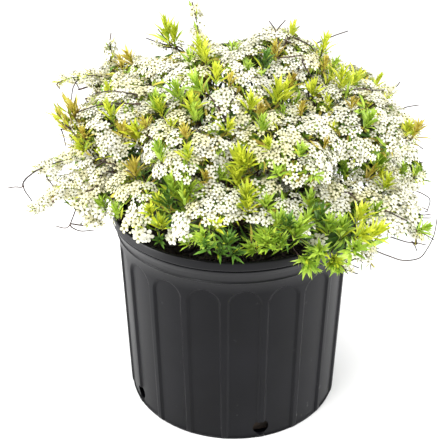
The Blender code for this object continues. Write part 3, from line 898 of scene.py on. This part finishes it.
BARE_TWIGS_SEEN = (
    ((-80,), 40, 169, 36, 171, 29, 176, 23, 183, 22, 187, 15, 187, 8, 188),
    ((-80,), 23, 185, 25, 191, 32, 201), ((-75,), 56, 177, 51, 176, 45, 174),
    ((-75,), 46, 176, 51, 183, 55, 189),
    ((-90,), 86, 196, 80, 200, 77, 206, 73, 217, 69, 226, 64, 228, 56, 226),
    ((-90,), 70, 225, 73, 228, 81, 231, 94, 230), ((50,), 74, 79, 77, 85, 80, 90),
    ((50,), 78, 79, 73, 88, 71, 102), ((50,), 62, 81, 57, 84, 60, 89),
    ((20,), 86, 98, 93, 102, 97, 106), ((0,), 61, 129, 63, 134, 66, 146),
    ((60,), 111, 52, 110, 42, 111, 33), ((10,), 186, 54, 179, 47, 163, 44, 146, 38),
    ((10,), 180, 52, 174, 45, 165, 38, 158, 29), ((-44,), 196, 18, 194, 10, 192, 2),
    ((), 284, 44, 277, 36, 285, 26), ((), 278, 44, 275, 35, 270, 27),
    ((), 288, 41, 292, 37, 298, 32), ((), 286, 40, 291, 42, 301, 46, 309, 51),
    ((30,), 300, 56, 312, 46, 324, 40, 336, 35, 348, 31), ((), 278, 61, 290, 60, 301, 59),
    ((), 300, 65, 305, 72, 311, 80, 313, 84), ((30,), 365, 113, 376, 105, 388, 96),
    ((50,), 393, 89, 397, 86, 400, 82), ((20,), 392, 112, 399, 110, 407, 107, 419, 105),
    ((0,), 404, 134, 411, 140, 423, 149), ((0,), 398, 156, 404, 158, 411, 160, 423, 163),
    ((0,), 396, 182, 407, 186, 416, 191, 423, 194, 430, 200, 427, 212),
    ((0,), 392, 197, 398, 196, 405, 196, 414, 192), ((0,), 400, 197, 410, 202, 419, 206, 428, 210),
    ((-10,), 402, 205, 414, 208, 427, 212), ((-10,), 406, 218, 424, 218, 431, 218),
    ((0,), 408, 213, 423, 215, 431, 214), ((-20,), 400, 219, 410, 222, 424, 225),
    ((-20,), 388, 236, 400, 240, 407, 242, 417, 243, 426, 245),
    ((-20,), 412, 242, 415, 246, 417, 251),
    ((-30,), 370, 248, 381, 253, 389, 256, 401, 260, 412, 260, 421, 257, 427, 249, 432, 240,
     435, 231, 437, 219),
    ((-60,), 342, 258, 348, 263, 359, 268), ((-60,), 342, 268, 352, 272, 358, 274),
    ((), 137, 98, 126, 97, 112, 96, 97, 96), ((), 140, 108, 116, 107, 105, 108, 92, 112, 80, 116),
    ((), 136, 131, 129, 134, 124, 140), ((), 127, 170, 133, 175, 139, 181),
    ((), 114, 159, 108, 158, 101, 161), ((), 225, 118, 218, 107, 211, 98),
    ((), 226, 118, 219, 107, 212, 99), ((), 225, 116, 229, 106, 234, 97),
    ((), 96, 163, 88, 166, 80, 171), ((), 88, 181, 80, 184, 70, 187),
    ((), 104, 184, 94, 190, 84, 194), ((), 346, 96, 358, 94, 369, 95, 380, 92),
    ((), 378, 210, 386, 213, 395, 218, 406, 223, 416, 226), ((), 70, 128, 78, 136, 85, 144),
    ((), 342, 196, 350, 199, 356, 204),
)
WAND_LIFT = 0.0060
WAND_RADII = (0.0010, 0.0005)
BARE_RADII = (0.0009, 0.0006)
WAND_SEED = 5
WAND_SPACING = {"blossom": 0.0050, "sparse": 0.0046, "bronze": 0.0018, "leafy": 0.0030}
WAND_FLOWER = 0.0040
WAND_CLUSTER = 0.0086
WAND_CLUSTER_RISE = 0.40
LEAFY_WAND_CLUSTERS = 0.45
WAND_LEAF = {"bronze": 0.020, "leafy": 0.012}
WAND_BRONZE = {"bronze": 0.62, "leafy": 0.55}
TINTS = {
    "chartreuse": ((0.66, 0.70, 0.055), (0.40, 0.48, 0.022)),
    "spring_green": ((0.44, 0.60, 0.070), (0.21, 0.35, 0.024)),
    "deep_green": ((0.15, 0.30, 0.045), (0.05, 0.12, 0.014)),
    "bronze": ((0.60, 0.52, 0.085), (0.34, 0.25, 0.034)),
    # painted shade: the near-black green of the leaves deepest in the crown stands in for the
    # shade inside it
    "painted_shade_green": ((0.075, 0.110, 0.020), (0.030, 0.050, 0.010)),
}

leaves = {tint: [] for tint in TINTS}
umbels = []
wand_lines = []


def on_plane(x, y, behind):
    """The point under a pixel that lies so many millimetres behind the pot's axis."""
    ray = pixel_ray(x, y)
    return np.array(camera_place + ray * ((behind / 1000 - camera_place.y) / ray.y))


def lines_seen(planes, flat):
    """The lines through a row of pixels, one on each plane, or one on the crown."""
    pixels = list(zip(flat[::2], flat[1::2]))
    layers = [[on_plane(x, y, behind) for x, y in pixels] for behind in planes]
    if not planes:
        spots = [place_by_pixel(x, y) for x, y in pixels]
        layers = [[place + normal * WAND_LIFT for place, normal in spots]]
    return [curve_through(layer, 5 * len(pixels)) for layer in layers]


def rooted(line, tree, ways):
    """The line, begun on the wood near its foot that runs most nearly the same way."""
    way = unit(line[1] - line[0])
    near = tree.find_n(line[0], 30)
    node, number, distance = min(near, key=lambda hit: hit[2] * (1.5 - unit(ways[hit[1]]) @ way))
    node = np.array(node)
    lead = node + unit(unit(ways[number]) + unit(line[0] - node)) * distance * 0.3
    onto = bezier(node, lead, line[0] - way * distance * 0.3, line[0], 6)
    return np.concatenate([onto, line[1:]])


def steps_along(line, spacing):
    """Points and directions at even steps along a line."""
    runs = np.linalg.norm(np.diff(line, axis=0), axis=1)
    reach = np.concatenate([[0], np.cumsum(runs)])
    for at in np.arange(spacing, reach[-1], spacing):
        number = min(int(np.searchsorted(reach, at)) - 1, len(runs) - 1)
        share = (at - reach[number]) / max(runs[number], 1e-9)
        way = line[number + 1] - line[number]
        yield line[number] + way * share, unit(way), at / reach[-1]


chance = np.random.default_rng(WAND_SEED)
wands = [(bears, planes, flat) for bears, *rows in WANDS_SEEN for planes, *flat in rows]
for bears, planes, flat in wands:
    for line in lines_seen(planes, flat):
        wand_lines.append(rooted(line, cane_tree, cane_ways))
        for point, way, share in steps_along(line, WAND_SPACING[bears]):
            side = unit(np.cross(way, chance.normal(size=3)))
            out = unit(side + np.array([0, 0, WAND_CLUSTER_RISE]))
            roll = chance.random()
            if bears in ("blossom", "sparse") or (bears == "leafy" and roll < LEAFY_WAND_CLUSTERS):
                few = int(chance.integers(2, 5) if bears == "sparse" else chance.integers(3, 6))
                reach = WAND_CLUSTER * (1.15 - 0.5 * share)
                hue = "cream" if chance.random() < 0.5 else "white"
                umbels.append((point, out, few, reach, WAND_FLOWER, hue, False))
                tint = "chartreuse" if roll < 0.5 else "bronze" if roll < 0.75 else "spring_green"
                leaves[tint].append((point, unit(way + out), out, 0.008 + 0.006 * chance.random()))
                continue
            tint = "bronze" if roll < WAND_BRONZE[bears] else "chartreuse"
            tint = "spring_green" if roll > 0.96 else tint
            length = WAND_LEAF[bears] * (0.6 + 0.4 * chance.random())
            leaves[tint].append((point, unit(way * 0.9 + out), out, length))
wand_tree, wand_ways = wood_tree([line[2:] for line in cane_lines] + wand_lines)
bare_lines = [
    rooted(line, wand_tree, wand_ways)
    for planes, *flat in BARE_TWIGS_SEEN
    for line in lines_seen(planes, flat)
]

# Blossom is borne all over the crown, thinner towards its edges and open where the photograph
# shows gaps. Each site is the head of one side twig.
SITE_SPACING = 0.0098
SITE_SEED = 33
SITE_DEPTH = 0.0065
LONGEST_TWIG = 0.034
SITE_LOWEST = -0.60
SITE_THINNED = -0.30
OPENINGS_SCALE = 26
OPENINGS_SHIFT = Vector((7.1, 3.3, 1.7))
OPEN_BELOW, LOOSE_BELOW = -0.42, -0.15
OPEN_SHARE = 0.7
LEAFY_SHARE, LEAFY_WHERE_LOOSE = 0.03, 0.06
SITE_SCATTER = 0.0028
FAN_RISE, FAN_REACH = 0.42, 0.26
GAPS_SEEN = (
    (152, 182, 9), (252, 240, 12), (288, 247, 5), (268, 244, 5), (220, 108, 7), (206, 118, 4),
    (297, 132, 4), (165, 168, 4), (262, 168, 5), (330, 160, 4), (222, 224, 6), (176, 232, 6),
    (199, 228, 6), (238, 222, 5), (318, 222, 5), (281, 224, 4), (142, 152, 4), (108, 216, 7),
    (362, 70, 4), (300, 88, 4), (244, 66, 4), (347, 118, 4), (338, 198, 5), (352, 188, 4),
    (236, 238, 10), (254, 238, 8), (162, 244, 8), (130, 236, 8), (206, 230, 7), (192, 218, 6),
    (124, 221, 10), (135, 206, 5), (66, 110, 8), (74, 120, 10), (84, 136, 10), (98, 150, 4),
    (190, 222, 7), (272, 234, 6), (300, 190, 3), (210, 150, 3), (176, 138, 3), (330, 110, 3),
    (250, 88, 3), (142, 228, 6),
)
LEAFY_SEEN = (
    (330, 248, 34, 0.80), (352, 232, 20, 0.75), (285, 240, 20, 0.50), (232, 246, 34, 0.50),
    (178, 200, 18, 0.75), (305, 215, 18, 0.35), (362, 172, 18, 0.45), (150, 212, 16, 0.35),
    (382, 192, 9, 0.70), (245, 180, 14, 0.45), (190, 98, 12, 0.50), (205, 92, 10, 0.60),
    (150, 110, 12, 0.40), (262, 64, 10, 0.50), (320, 72, 14, 0.40), (300, 100, 10, 0.40),
    (160, 158, 10, 0.45), (136, 176, 10, 0.40), (345, 86, 12, 0.60), (110, 118, 10, 0.50),
    (92, 128, 24, 0.12), (124, 150, 20, 0.12),
)

chance = np.random.default_rng(SITE_SEED)
camera_at = np.array(camera_place)
taken = [place for place, _, _, _ in seen_shoots]
spots = spread_over_skin(SITE_SPACING, SITE_SEED, taken, 70000)
shown = within_crown(np.array([place for place, _ in spots]))
fans = np.array(
    [(x, y - FAN_RISE * long, FAN_REACH * long + 2) for x, y, _, long in shoot_marks]
)
seen_at = pixels_of(np.array([place for place, _ in spots]))
sites = []
for (place, normal), inside, (x, y) in zip(spots, shown, seen_at):
    luck = chance.random()
    if not inside or normal[2] < SITE_LOWEST or (normal[2] < SITE_THINNED and luck < 0.5):
        continue
    faces_camera = normal @ (camera_at - place) > 0
    open_here = noise.noise(Vector(place) * OPENINGS_SCALE + OPENINGS_SHIFT)
    if faces_camera and any(math.hypot(x - a, y - b) < wide for a, b, wide in GAPS_SEEN):
        continue
    if open_here < OPEN_BELOW and luck < OPEN_SHARE:
        continue
    if faces_camera and (np.hypot(x - fans[:, 0], y - fans[:, 1]) < fans[:, 2]).any():
        continue
    head = place - normal * SITE_DEPTH + chance.normal(scale=SITE_SCATTER, size=3)
    node, number, distance = cane_tree.find(head)
    if distance > LONGEST_TWIG:
        continue
    leafy = LEAFY_SHARE + LEAFY_WHERE_LOOSE * (open_here < LOOSE_BELOW)
    for a, b, wide, share in LEAFY_SEEN:
        if faces_camera and math.hypot(x - a, y - b) < wide:
            leafy = max(leafy, share)
    kind = "shoot" if chance.random() < leafy else "umbel"
    axis = unit(normal * 0.75 + np.array([0, 0, 0.55]) + chance.normal(scale=0.16, size=3))
    sites.append((head, axis, kind, np.array(node), unit(cane_ways[number])))

# Side twigs are thin and brown. Each leaves its cane forwards and bends up to the head of its
# site, and the ones under the photograph's shoots do the same.
TWIG_POINTS = 5
TWIG_RADII = (0.00065, 0.00035)

twig_lines = []
for head, axis, _, node, way in sites:
    span = np.linalg.norm(head - node)
    twig_lines.append(
        bezier(node, node + way * span * 0.45, head - axis * span * 0.40, head, TWIG_POINTS)
    )
for place, normal, _, length in seen_shoots:
    foot = np.array([place - normal * 0.007, place - normal * 0.003])
    twig_lines.append(rooted(foot, cane_tree, cane_ways))

twig_bark = mottled(
    "twig_bark", 0.65, 90.0, (0.35, 0.70), (0.012, 0.006, 0.005), (0.070, 0.032, 0.018)
)
for name, lines, radii, sides in (
    ("canes", cane_lines, CANE_RADII, 5),
    ("wands", wand_lines, WAND_RADII, 5),
    ("side_twigs", twig_lines, TWIG_RADII, 3),
    ("bare_twigs", bare_lines, BARE_RADII, 5),
):
    wood = mesh_object(name, *limb_arrays(lines, [radii] * len(lines), sides))
    wood.data.shade_smooth()
    finished(wood, twig_bark, "bark")

# Blossom comes in flat-topped clusters of a few five-petalled flowers, each on its own thin
# stalk. A petal is blunt with a narrow claw, so dark gaps show between petals, and the flowers
# low at the front are the largest.
FLOWER_SEED = 47
FLOWERS_PER_CLUSTER = (7, 10)
CLUSTER_RADIUS = 0.0092
LARGE_CLUSTER = 0.35
SMALL_FLOWER = 0.0043
LARGE_FLOWER = 0.0059
BUD_SHARE = 0.10
SMALL_ABOVE, LARGE_BELOW = 0.325, 0.265
SMALL_BEHIND, LARGE_BEFORE = 0.0, -0.10
SEEN_CLUSTER_FLOWERS = 8
PETAL_OUTLINE = (
    (0.10, 0.00, 0.02), (0.46, -0.27, 0.12), (0.46, 0.27, 0.12),
    (0.82, -0.27, 0.13), (0.82, 0.27, 0.13), (1.03, 0.00, 0.06),
)
PETAL_FACES = ((0, 1, 2), (1, 3, 4), (1, 4, 2), (3, 5, 4))
PETALS = 5
CREAM_ABOVE = 0.20
GOLDEN_TURN = 2.4


def smooth_share(value, low, high):
    """How far a value has gone from low to high, eased at both ends."""
    return float(smooth_step((value - low) / (high - low)))


def spun_frame(axis):
    """Three square directions with the axis as the third, at a random turn."""
    return frames_along(axis[None], chance.random(1) * math.tau)[0]


def beside(square, turn):
    """The way that points out from a frame's axis at a turn round it."""
    return square[:, 0] * math.cos(turn) + square[:, 1] * math.sin(turn)


chance = np.random.default_rng(FLOWER_SEED)
for head, axis, kind, _, _ in sites:
    if kind != "umbel":
        continue
    count = int(chance.integers(FLOWERS_PER_CLUSTER[0], FLOWERS_PER_CLUSTER[1] + 1))
    low = smooth_share(head[2], SMALL_ABOVE, LARGE_BELOW)
    low *= smooth_share(head[1], SMALL_BEHIND, LARGE_BEFORE)
    size = SMALL_FLOWER + low * (LARGE_FLOWER - SMALL_FLOWER)
    creamy = noise.noise(Vector(head) * 18) + 0.25 * chance.normal() - head[0] > CREAM_ABOVE
    spread = CLUSTER_RADIUS * (1 + LARGE_CLUSTER * low) * (0.85 + 0.3 * chance.random())
    umbels.append((head, axis, count, spread, size, "cream" if creamy else "white", True))

for place, normal, tint, length in seen_shoots:
    if tint == "blossom":
        head = place - normal * 0.003
        axis = unit(normal + np.array([0, 0, 0.6]))
        size = LARGE_FLOWER if place[2] < 0.30 and place[0] > -0.10 else SMALL_FLOWER
        umbels.append((head, axis, SEEN_CLUSTER_FLOWERS, length, size, "white", True))

flowers = []
buds = []
for head, axis, count, spread, size, tint, trimmed in umbels:
    square = spun_frame(axis)
    for number in range(count):
        ring = 0.15 if number == 0 else 0.62 + 0.38 * chance.random()
        turn = number * GOLDEN_TURN + 0.5 * chance.random()
        lift = spread * (0.95 - 0.35 * ring**2 + 0.14 * chance.normal())
        out = ring * spread
        offset = square @ np.array([out * math.cos(turn), out * math.sin(turn), lift])
        if chance.random() < BUD_SHARE:
            buds.append((head, head + offset, axis, trimmed))
            continue
        facing = unit(axis * 0.9 + unit(offset) * 0.6 + chance.normal(scale=0.20, size=3))
        grown = size * (0.86 + 0.28 * chance.random())
        flowers.append((head, head + offset, facing, grown, tint, trimmed))


def trimmed_to_crown(heads):
    """The flowers or buds whose places fall within the crown, or that needn't."""
    inside = within_crown(np.array([head[1] for head in heads]))
    return [head for head, fits in zip(heads, inside) if fits or not head[-1]]


def whorl(points, faces, count, start=0):
    """Copies of a small shape set evenly round an axis."""
    all_points, all_faces = [], []
    for number in range(count):
        spin = np.array(Matrix.Rotation((number + start) * math.tau / count, 3, "Z"))
        all_points.append(np.array(points) @ spin.T)
        all_faces.append(np.array(faces) + number * len(points))
    return np.concatenate(all_points), np.concatenate(all_faces)


flowers = trimmed_to_crown(flowers)
buds = trimmed_to_crown(buds)
petals_in_ring = whorl(PETAL_OUTLINE, PETAL_FACES, PETALS)
petal_white, petal_cream = (
    mottled(name, 0.6, 120.0, (0.30, 0.62), deep, pale, shine=0.2)
    for name, deep, pale in (
        ("petal_white", (0.67, 0.66, 0.50), (0.77, 0.76, 0.67)),
        ("petal_cream", (0.62, 0.59, 0.34), (0.74, 0.71, 0.50)),
    )
)
flower_places = np.array([flower[1] for flower in flowers])
flower_frames = frames_along(
    np.array([flower[2] for flower in flowers]), chance.random(len(flowers)) * math.tau
)
flower_sizes = np.array([flower[3] for flower in flowers])
is_cream = np.array([flower[4] == "cream" for flower in flowers])

TIER_HEIGHTS = {"skirt": (-1.0, 0.300), "shoulder": (0.300, 0.365), "crest": (0.365, 9.0)}
for tier, (floor_height, top_height) in TIER_HEIGHTS.items():
    here = (flower_places[:, 2] >= floor_height) & (flower_places[:, 2] < top_height)
    middles = {name: sum(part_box(name), Vector()) / 2 for name in (*mass_names, *spray_names)}
    members = [name for name in middles if floor_height <= middles[name].z < top_height]
    for tint, chosen, stuff in (
        ("white", here & ~is_cream, petal_white),
        ("cream", here & is_cream, petal_cream),
    ):
        petals = scattered(
            f"petals_{tint}_{tier}",
            *petals_in_ring,
            flower_frames[chosen],
            flower_places[chosen],
            flower_sizes[chosen],
        )
        finished(petals, stuff, "blossom", *(members if tint == "white" else ()))

# Each flower has a small green cup with a yellow-green disc, and a ring of pale stamens that
# stand over the petals. Round buds sit among the open flowers.
bpy.ops.object.select_all(action="DESELECT")
bpy.ops.mesh.primitive_cone_add(
    vertices=5, radius1=0.02, radius2=0.27, depth=0.32, end_fill_type="TRIFAN",
    location=(0, 0, -0.05),
)
heart_cone = bpy.context.object
bpy.ops.object.transform_apply(location=True, rotation=False, scale=False)
bpy.ops.object.mode_set(mode="EDIT")
bpy.ops.mesh.select_all(action="SELECT")
bpy.ops.mesh.remove_doubles(threshold=0.05)
bpy.ops.mesh.quads_convert_to_tris()
bpy.ops.object.mode_set(mode="OBJECT")
flower_stance = (flower_frames, flower_places, flower_sizes)
hearts = scattered("flower_hearts", *arrays_of(heart_cone), *flower_stance)
heart_green = mottled(
    "flower_heart", 0.6, 260.0, (0.32, 0.66), (0.055, 0.060, 0.010), (0.24, 0.22, 0.030)
)
finished(hearts, heart_green, "blossom")

STAMENS = 5
STAMEN_OUTLINE = ((0.24, 0.0, 0.10), (0.50, -0.05, 0.34), (0.50, 0.05, 0.34))
BUD_RADIUS = 0.0012
BUD_GROWTH = 0.0006

stamen_ring = whorl(STAMEN_OUTLINE, ((0, 1, 2),), STAMENS, 0.5)
stamens = scattered("stamens", *stamen_ring, *flower_stance)
finished(stamens, petal_cream, "blossom")

bpy.ops.mesh.primitive_ico_sphere_add(subdivisions=1, radius=1.0)
bud_ball = arrays_of(bpy.context.object)
bud_axes = np.array([bud[2] for bud in buds])
bud_frames = frames_along(bud_axes, chance.random(len(buds)) * math.tau)
bud_sizes = BUD_RADIUS + BUD_GROWTH * chance.random(len(buds))
bud_places = np.array([bud[1] for bud in buds])
bud_heads = scattered("buds", *bud_ball, bud_frames, bud_places, bud_sizes)
bud_heads.data.shade_smooth()
finished(bud_heads, petal_cream, "blossom")

# A flower's stalk is a thin green spike from the end of the side twig to the flower's cup.
STALK_RADIUS = 0.00032

stalk_spike = np.array([(1, 0, 0), (-0.5, 0.87, 0), (-0.5, -0.87, 0), (0, 0, 1)], dtype=float)
stalk_faces = np.array([(0, 1, 3), (1, 2, 3), (2, 0, 3)])
stalk_feet = np.array([head[0] for head in (*flowers, *buds)])
stalk_ways = np.array([head[1] for head in (*flowers, *buds)]) - stalk_feet
stalk_widths = np.full(len(stalk_ways), STALK_RADIUS)
flower_stalks = scattered(
    "flower_stalks",
    stalk_spike,
    stalk_faces,
    frames_along(stalk_ways, np.zeros(len(stalk_ways))),
    stalk_feet,
    np.stack([stalk_widths, stalk_widths, np.linalg.norm(stalk_ways, axis=1)], axis=1),
)
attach(flower_stalks, "root")

# Leaves are lance-shaped, folded a little along the midrib and curved down at the tip. Each
# shoot, and each whorl under a cluster, is dealt one tint, and each tint is its own piece.
LEAF_SEED = 59
LEAF_WIDTH = 0.205
SHOOT_LEAVES = 21
TWIN_LEAVES = 4
PLAIN_SHOOT_LEAVES = 12
PLAIN_SHOOT, SHOOT_GROWTH = 0.018, 0.010
WHORL_LEAF, WHORL_GROWTH = 0.008, 0.007
GREEN_BELOW = 0.285
YOUNG_ABOVE = 0.1
LOWEST_LEAN = 44
LEAN_LOSS = 36
INNER_SPACING = 0.0085
# Leaves inside the crown lie in layers by depth; the deepest layer's near-black green is painted
# shade for the crown's dark inside, not a tint that the leaves have.
INNER_LAYERS = (
    (0.002, 0.006, "spring_green"), (0.003, 0.010, "bronze"),
    (0.008, 0.020, "deep_green"), (0.014, 0.036, "painted_shade_green"),
)
LONGEST_INNER = 0.034

leaf_points = np.array(
    [
        (0.00, 0.00, 0.00), (0.28, 0.00, 0.012), (0.64, 0.00, -0.01), (1.00, 0.00, -0.12),
        (0.28, 0.36, 0.035), (0.62, 0.40, 0.012), (0.28, -0.36, 0.035), (0.62, -0.40, 0.012),
    ]
)
leaf_faces = np.array(
    [
        (0, 1, 4), (0, 6, 1), (1, 2, 5), (1, 5, 4), (1, 7, 2), (1, 6, 7), (2, 3, 5), (2, 7, 3),
    ]
)
chance = np.random.default_rng(LEAF_SEED)
shoot_stems = []


def grow_shoot(root, foot, axis, length, tint, count):
    """A leafy shoot: leaves in a spiral up its axis, spread below and upright at the top."""
    rise = axis * length
    shoot_stems.append(np.array([root, foot, foot + rise * 0.3, foot + rise * 0.6]))
    square = spun_frame(axis)
    for number in range(count):
        share = number / max(count - 1, 1)
        turn = number * GOLDEN_TURN + 0.3 * chance.normal()
        lean = math.radians(LOWEST_LEAN - LEAN_LOSS * share + 6 * chance.normal())
        side = beside(square, turn)
        way = unit(axis * math.cos(lean) + side * math.sin(lean))
        leaf_length = length * (0.76 - 0.26 * share) * (0.80 + 0.4 * chance.random())
        base = foot + axis * length * 0.55 * share
        leaves[tint].append((base, way, axis, leaf_length))


for place, normal, tint, length in seen_shoots:
    if tint == "blossom":
        continue
    upright = 0.85 if place[2] > 0.275 else 0.20 if place[0] > 0.06 else 0.70
    axis = unit(normal * (1.2 - upright) + np.array([0, 0, upright]))
    axis = unit(axis + chance.normal(scale=0.10, size=3))
    twin = {"chartreuse": "spring_green", "bronze": "chartreuse"}.get(tint, "chartreuse")
    twig_end = place - normal * 0.003
    grow_shoot(twig_end, place + normal * 0.001, axis, length, tint, SHOOT_LEAVES)
    grow_shoot(twig_end, place - normal * 0.001, axis, length * 0.85, twin, TWIN_LEAVES)
seen_leaves = {tint: len(placed) for tint, placed in leaves.items()}
for head, axis, kind, _, _ in sites:
    roll = chance.random()
    young = noise.noise(Vector(head) * 15 + Vector((2, 9, 4))) - head[0]
    if kind == "shoot":
        if head[2] < GREEN_BELOW:
            tint = "deep_green" if roll < 0.22 else "chartreuse" if roll > 0.8 else "spring_green"
        elif young > YOUNG_ABOVE:
            tint = "chartreuse" if roll < 0.85 else "bronze"
        else:
            tint = "spring_green" if roll < 0.6 else "chartreuse"
        length = PLAIN_SHOOT + SHOOT_GROWTH * chance.random()
        grow_shoot(head - axis * 0.002, head, axis, length, tint, PLAIN_SHOOT_LEAVES)
        continue
    count = int(chance.integers(2, 6))
    tint = "chartreuse" if roll < 0.48 else "spring_green" if roll < 0.82 else "bronze"
    square = spun_frame(axis)
    for number in range(count):
        turn = number * math.tau / count + 0.4 * chance.normal()
        side = beside(square, turn)
        way = unit(side + axis * (0.25 + 0.3 * chance.normal()))
        leaves[tint].append((head, way, axis, WHORL_LEAF + WHORL_GROWTH * chance.random()))
for place, normal in spread_over_skin(INNER_SPACING, LEAF_SEED, tries=60000):
    x, y = pixels_of(place[None])[0]
    open_here = any(math.hypot(x - a, y - b) < wide for a, b, wide in GAPS_SEEN if b > 208)
    if open_here and normal[1] < 0:
        continue
    for low, high, tint in INNER_LAYERS:
        depth = low + (high - low) * chance.random()
        tip = place - normal * depth + chance.normal(scale=0.003, size=3)
        near = cane_tree.find_n(tip, 6)
        node, number, distance = near[int(chance.integers(len(near)))]
        if distance > LONGEST_INNER:
            continue
        if tint == "bronze" and place[2] < 0.30:
            tint = "deep_green"
        way = unit(tip - np.array(node))
        up = unit(normal + chance.normal(scale=0.4, size=3))
        leaves[tint].append((np.array(node), way, up, max(distance, 0.010)))

stems_of_shoots = mesh_object(
    "shoot_stems", *limb_arrays(shoot_stems, [TWIG_RADII] * len(shoot_stems), 3)
)
finished(stems_of_shoots, twig_bark, "bark")

for tint, (pale, deep) in TINTS.items():
    bases, ways, ups, lengths = (np.array(values) for values in zip(*leaves[tint]))
    kept = within_crown(bases + ways * lengths[:, None] * 0.7)
    kept[: seen_leaves[tint]] = True
    bases, ways, ups, lengths = bases[kept], ways[kept], ups[kept], lengths[kept]
    across = np.cross(ups, ways)
    across /= np.maximum(row_lengths(across), 1e-6)
    square = np.stack([ways, across, np.cross(ways, across)], axis=2)
    sizes = np.stack([lengths, lengths * LEAF_WIDTH, lengths], axis=1)
    spray = scattered(f"leaves_{tint}", leaf_points, leaf_faces, square, bases, sizes)
    spray.data.shade_smooth()
    green = mottled(f"leaf_{tint}", 0.5, 70.0, (0.36, 0.62), deep, pale, shine=0.3)
    finished(spray, green, "blossom")
    if tint == "spring_green":
        flower_stalks.data.materials.append(green)

# A plain pale floor, and soft white light from all round: a broad lamp over the front, one over
# the back, and two softboxes at the sides that the pot's satin wall reflects.
FLOOR_SIZE = 12.0
SKY_STRENGTH = 1.02
AIM = Vector((0, 0, 0.25))
LAMPS = (
    ("key_light", (-0.8, -1.1, 2.3), 0.9, 35),
    ("left_softbox", (-1.7, -0.3, 0.7), 0.8, 27),
    ("right_softbox", (1.7, -0.5, 0.6), 0.6, 27),
    ("top_light", (0.3, 0.5, 2.4), 1.2, 16),
)

bpy.ops.mesh.primitive_plane_add(size=FLOOR_SIZE, location=(0, 0, -0.0005))
floor = bpy.context.object
floor.name = "floor"
floor_paint, _ = new_material("pale_floor")
shade(floor_paint, {"Base Color": (0.93, 0.93, 0.93, 1), "Roughness": 0.9})
floor.data.materials.append(floor_paint)

studio = bpy.data.worlds.new("studio")
bpy.context.scene.world = studio
studio.use_nodes = True
sky = studio.node_tree.nodes["Background"].inputs
sky["Color"].default_value = (1, 1, 1, 1)
sky["Strength"].default_value = SKY_STRENGTH

for name, place, size, power in LAMPS:
    turn = (AIM - Vector(place)).to_track_quat("-Z", "Y").to_euler()
    bpy.ops.object.light_add(type="AREA", location=place, rotation=turn)
    lamp = bpy.context.object
    lamp.name = name
    lamp.data.size = size
    lamp.data.energy = power
    lamp.visible_camera = False

bpy.context.scene.view_settings.view_transform = "Standard"
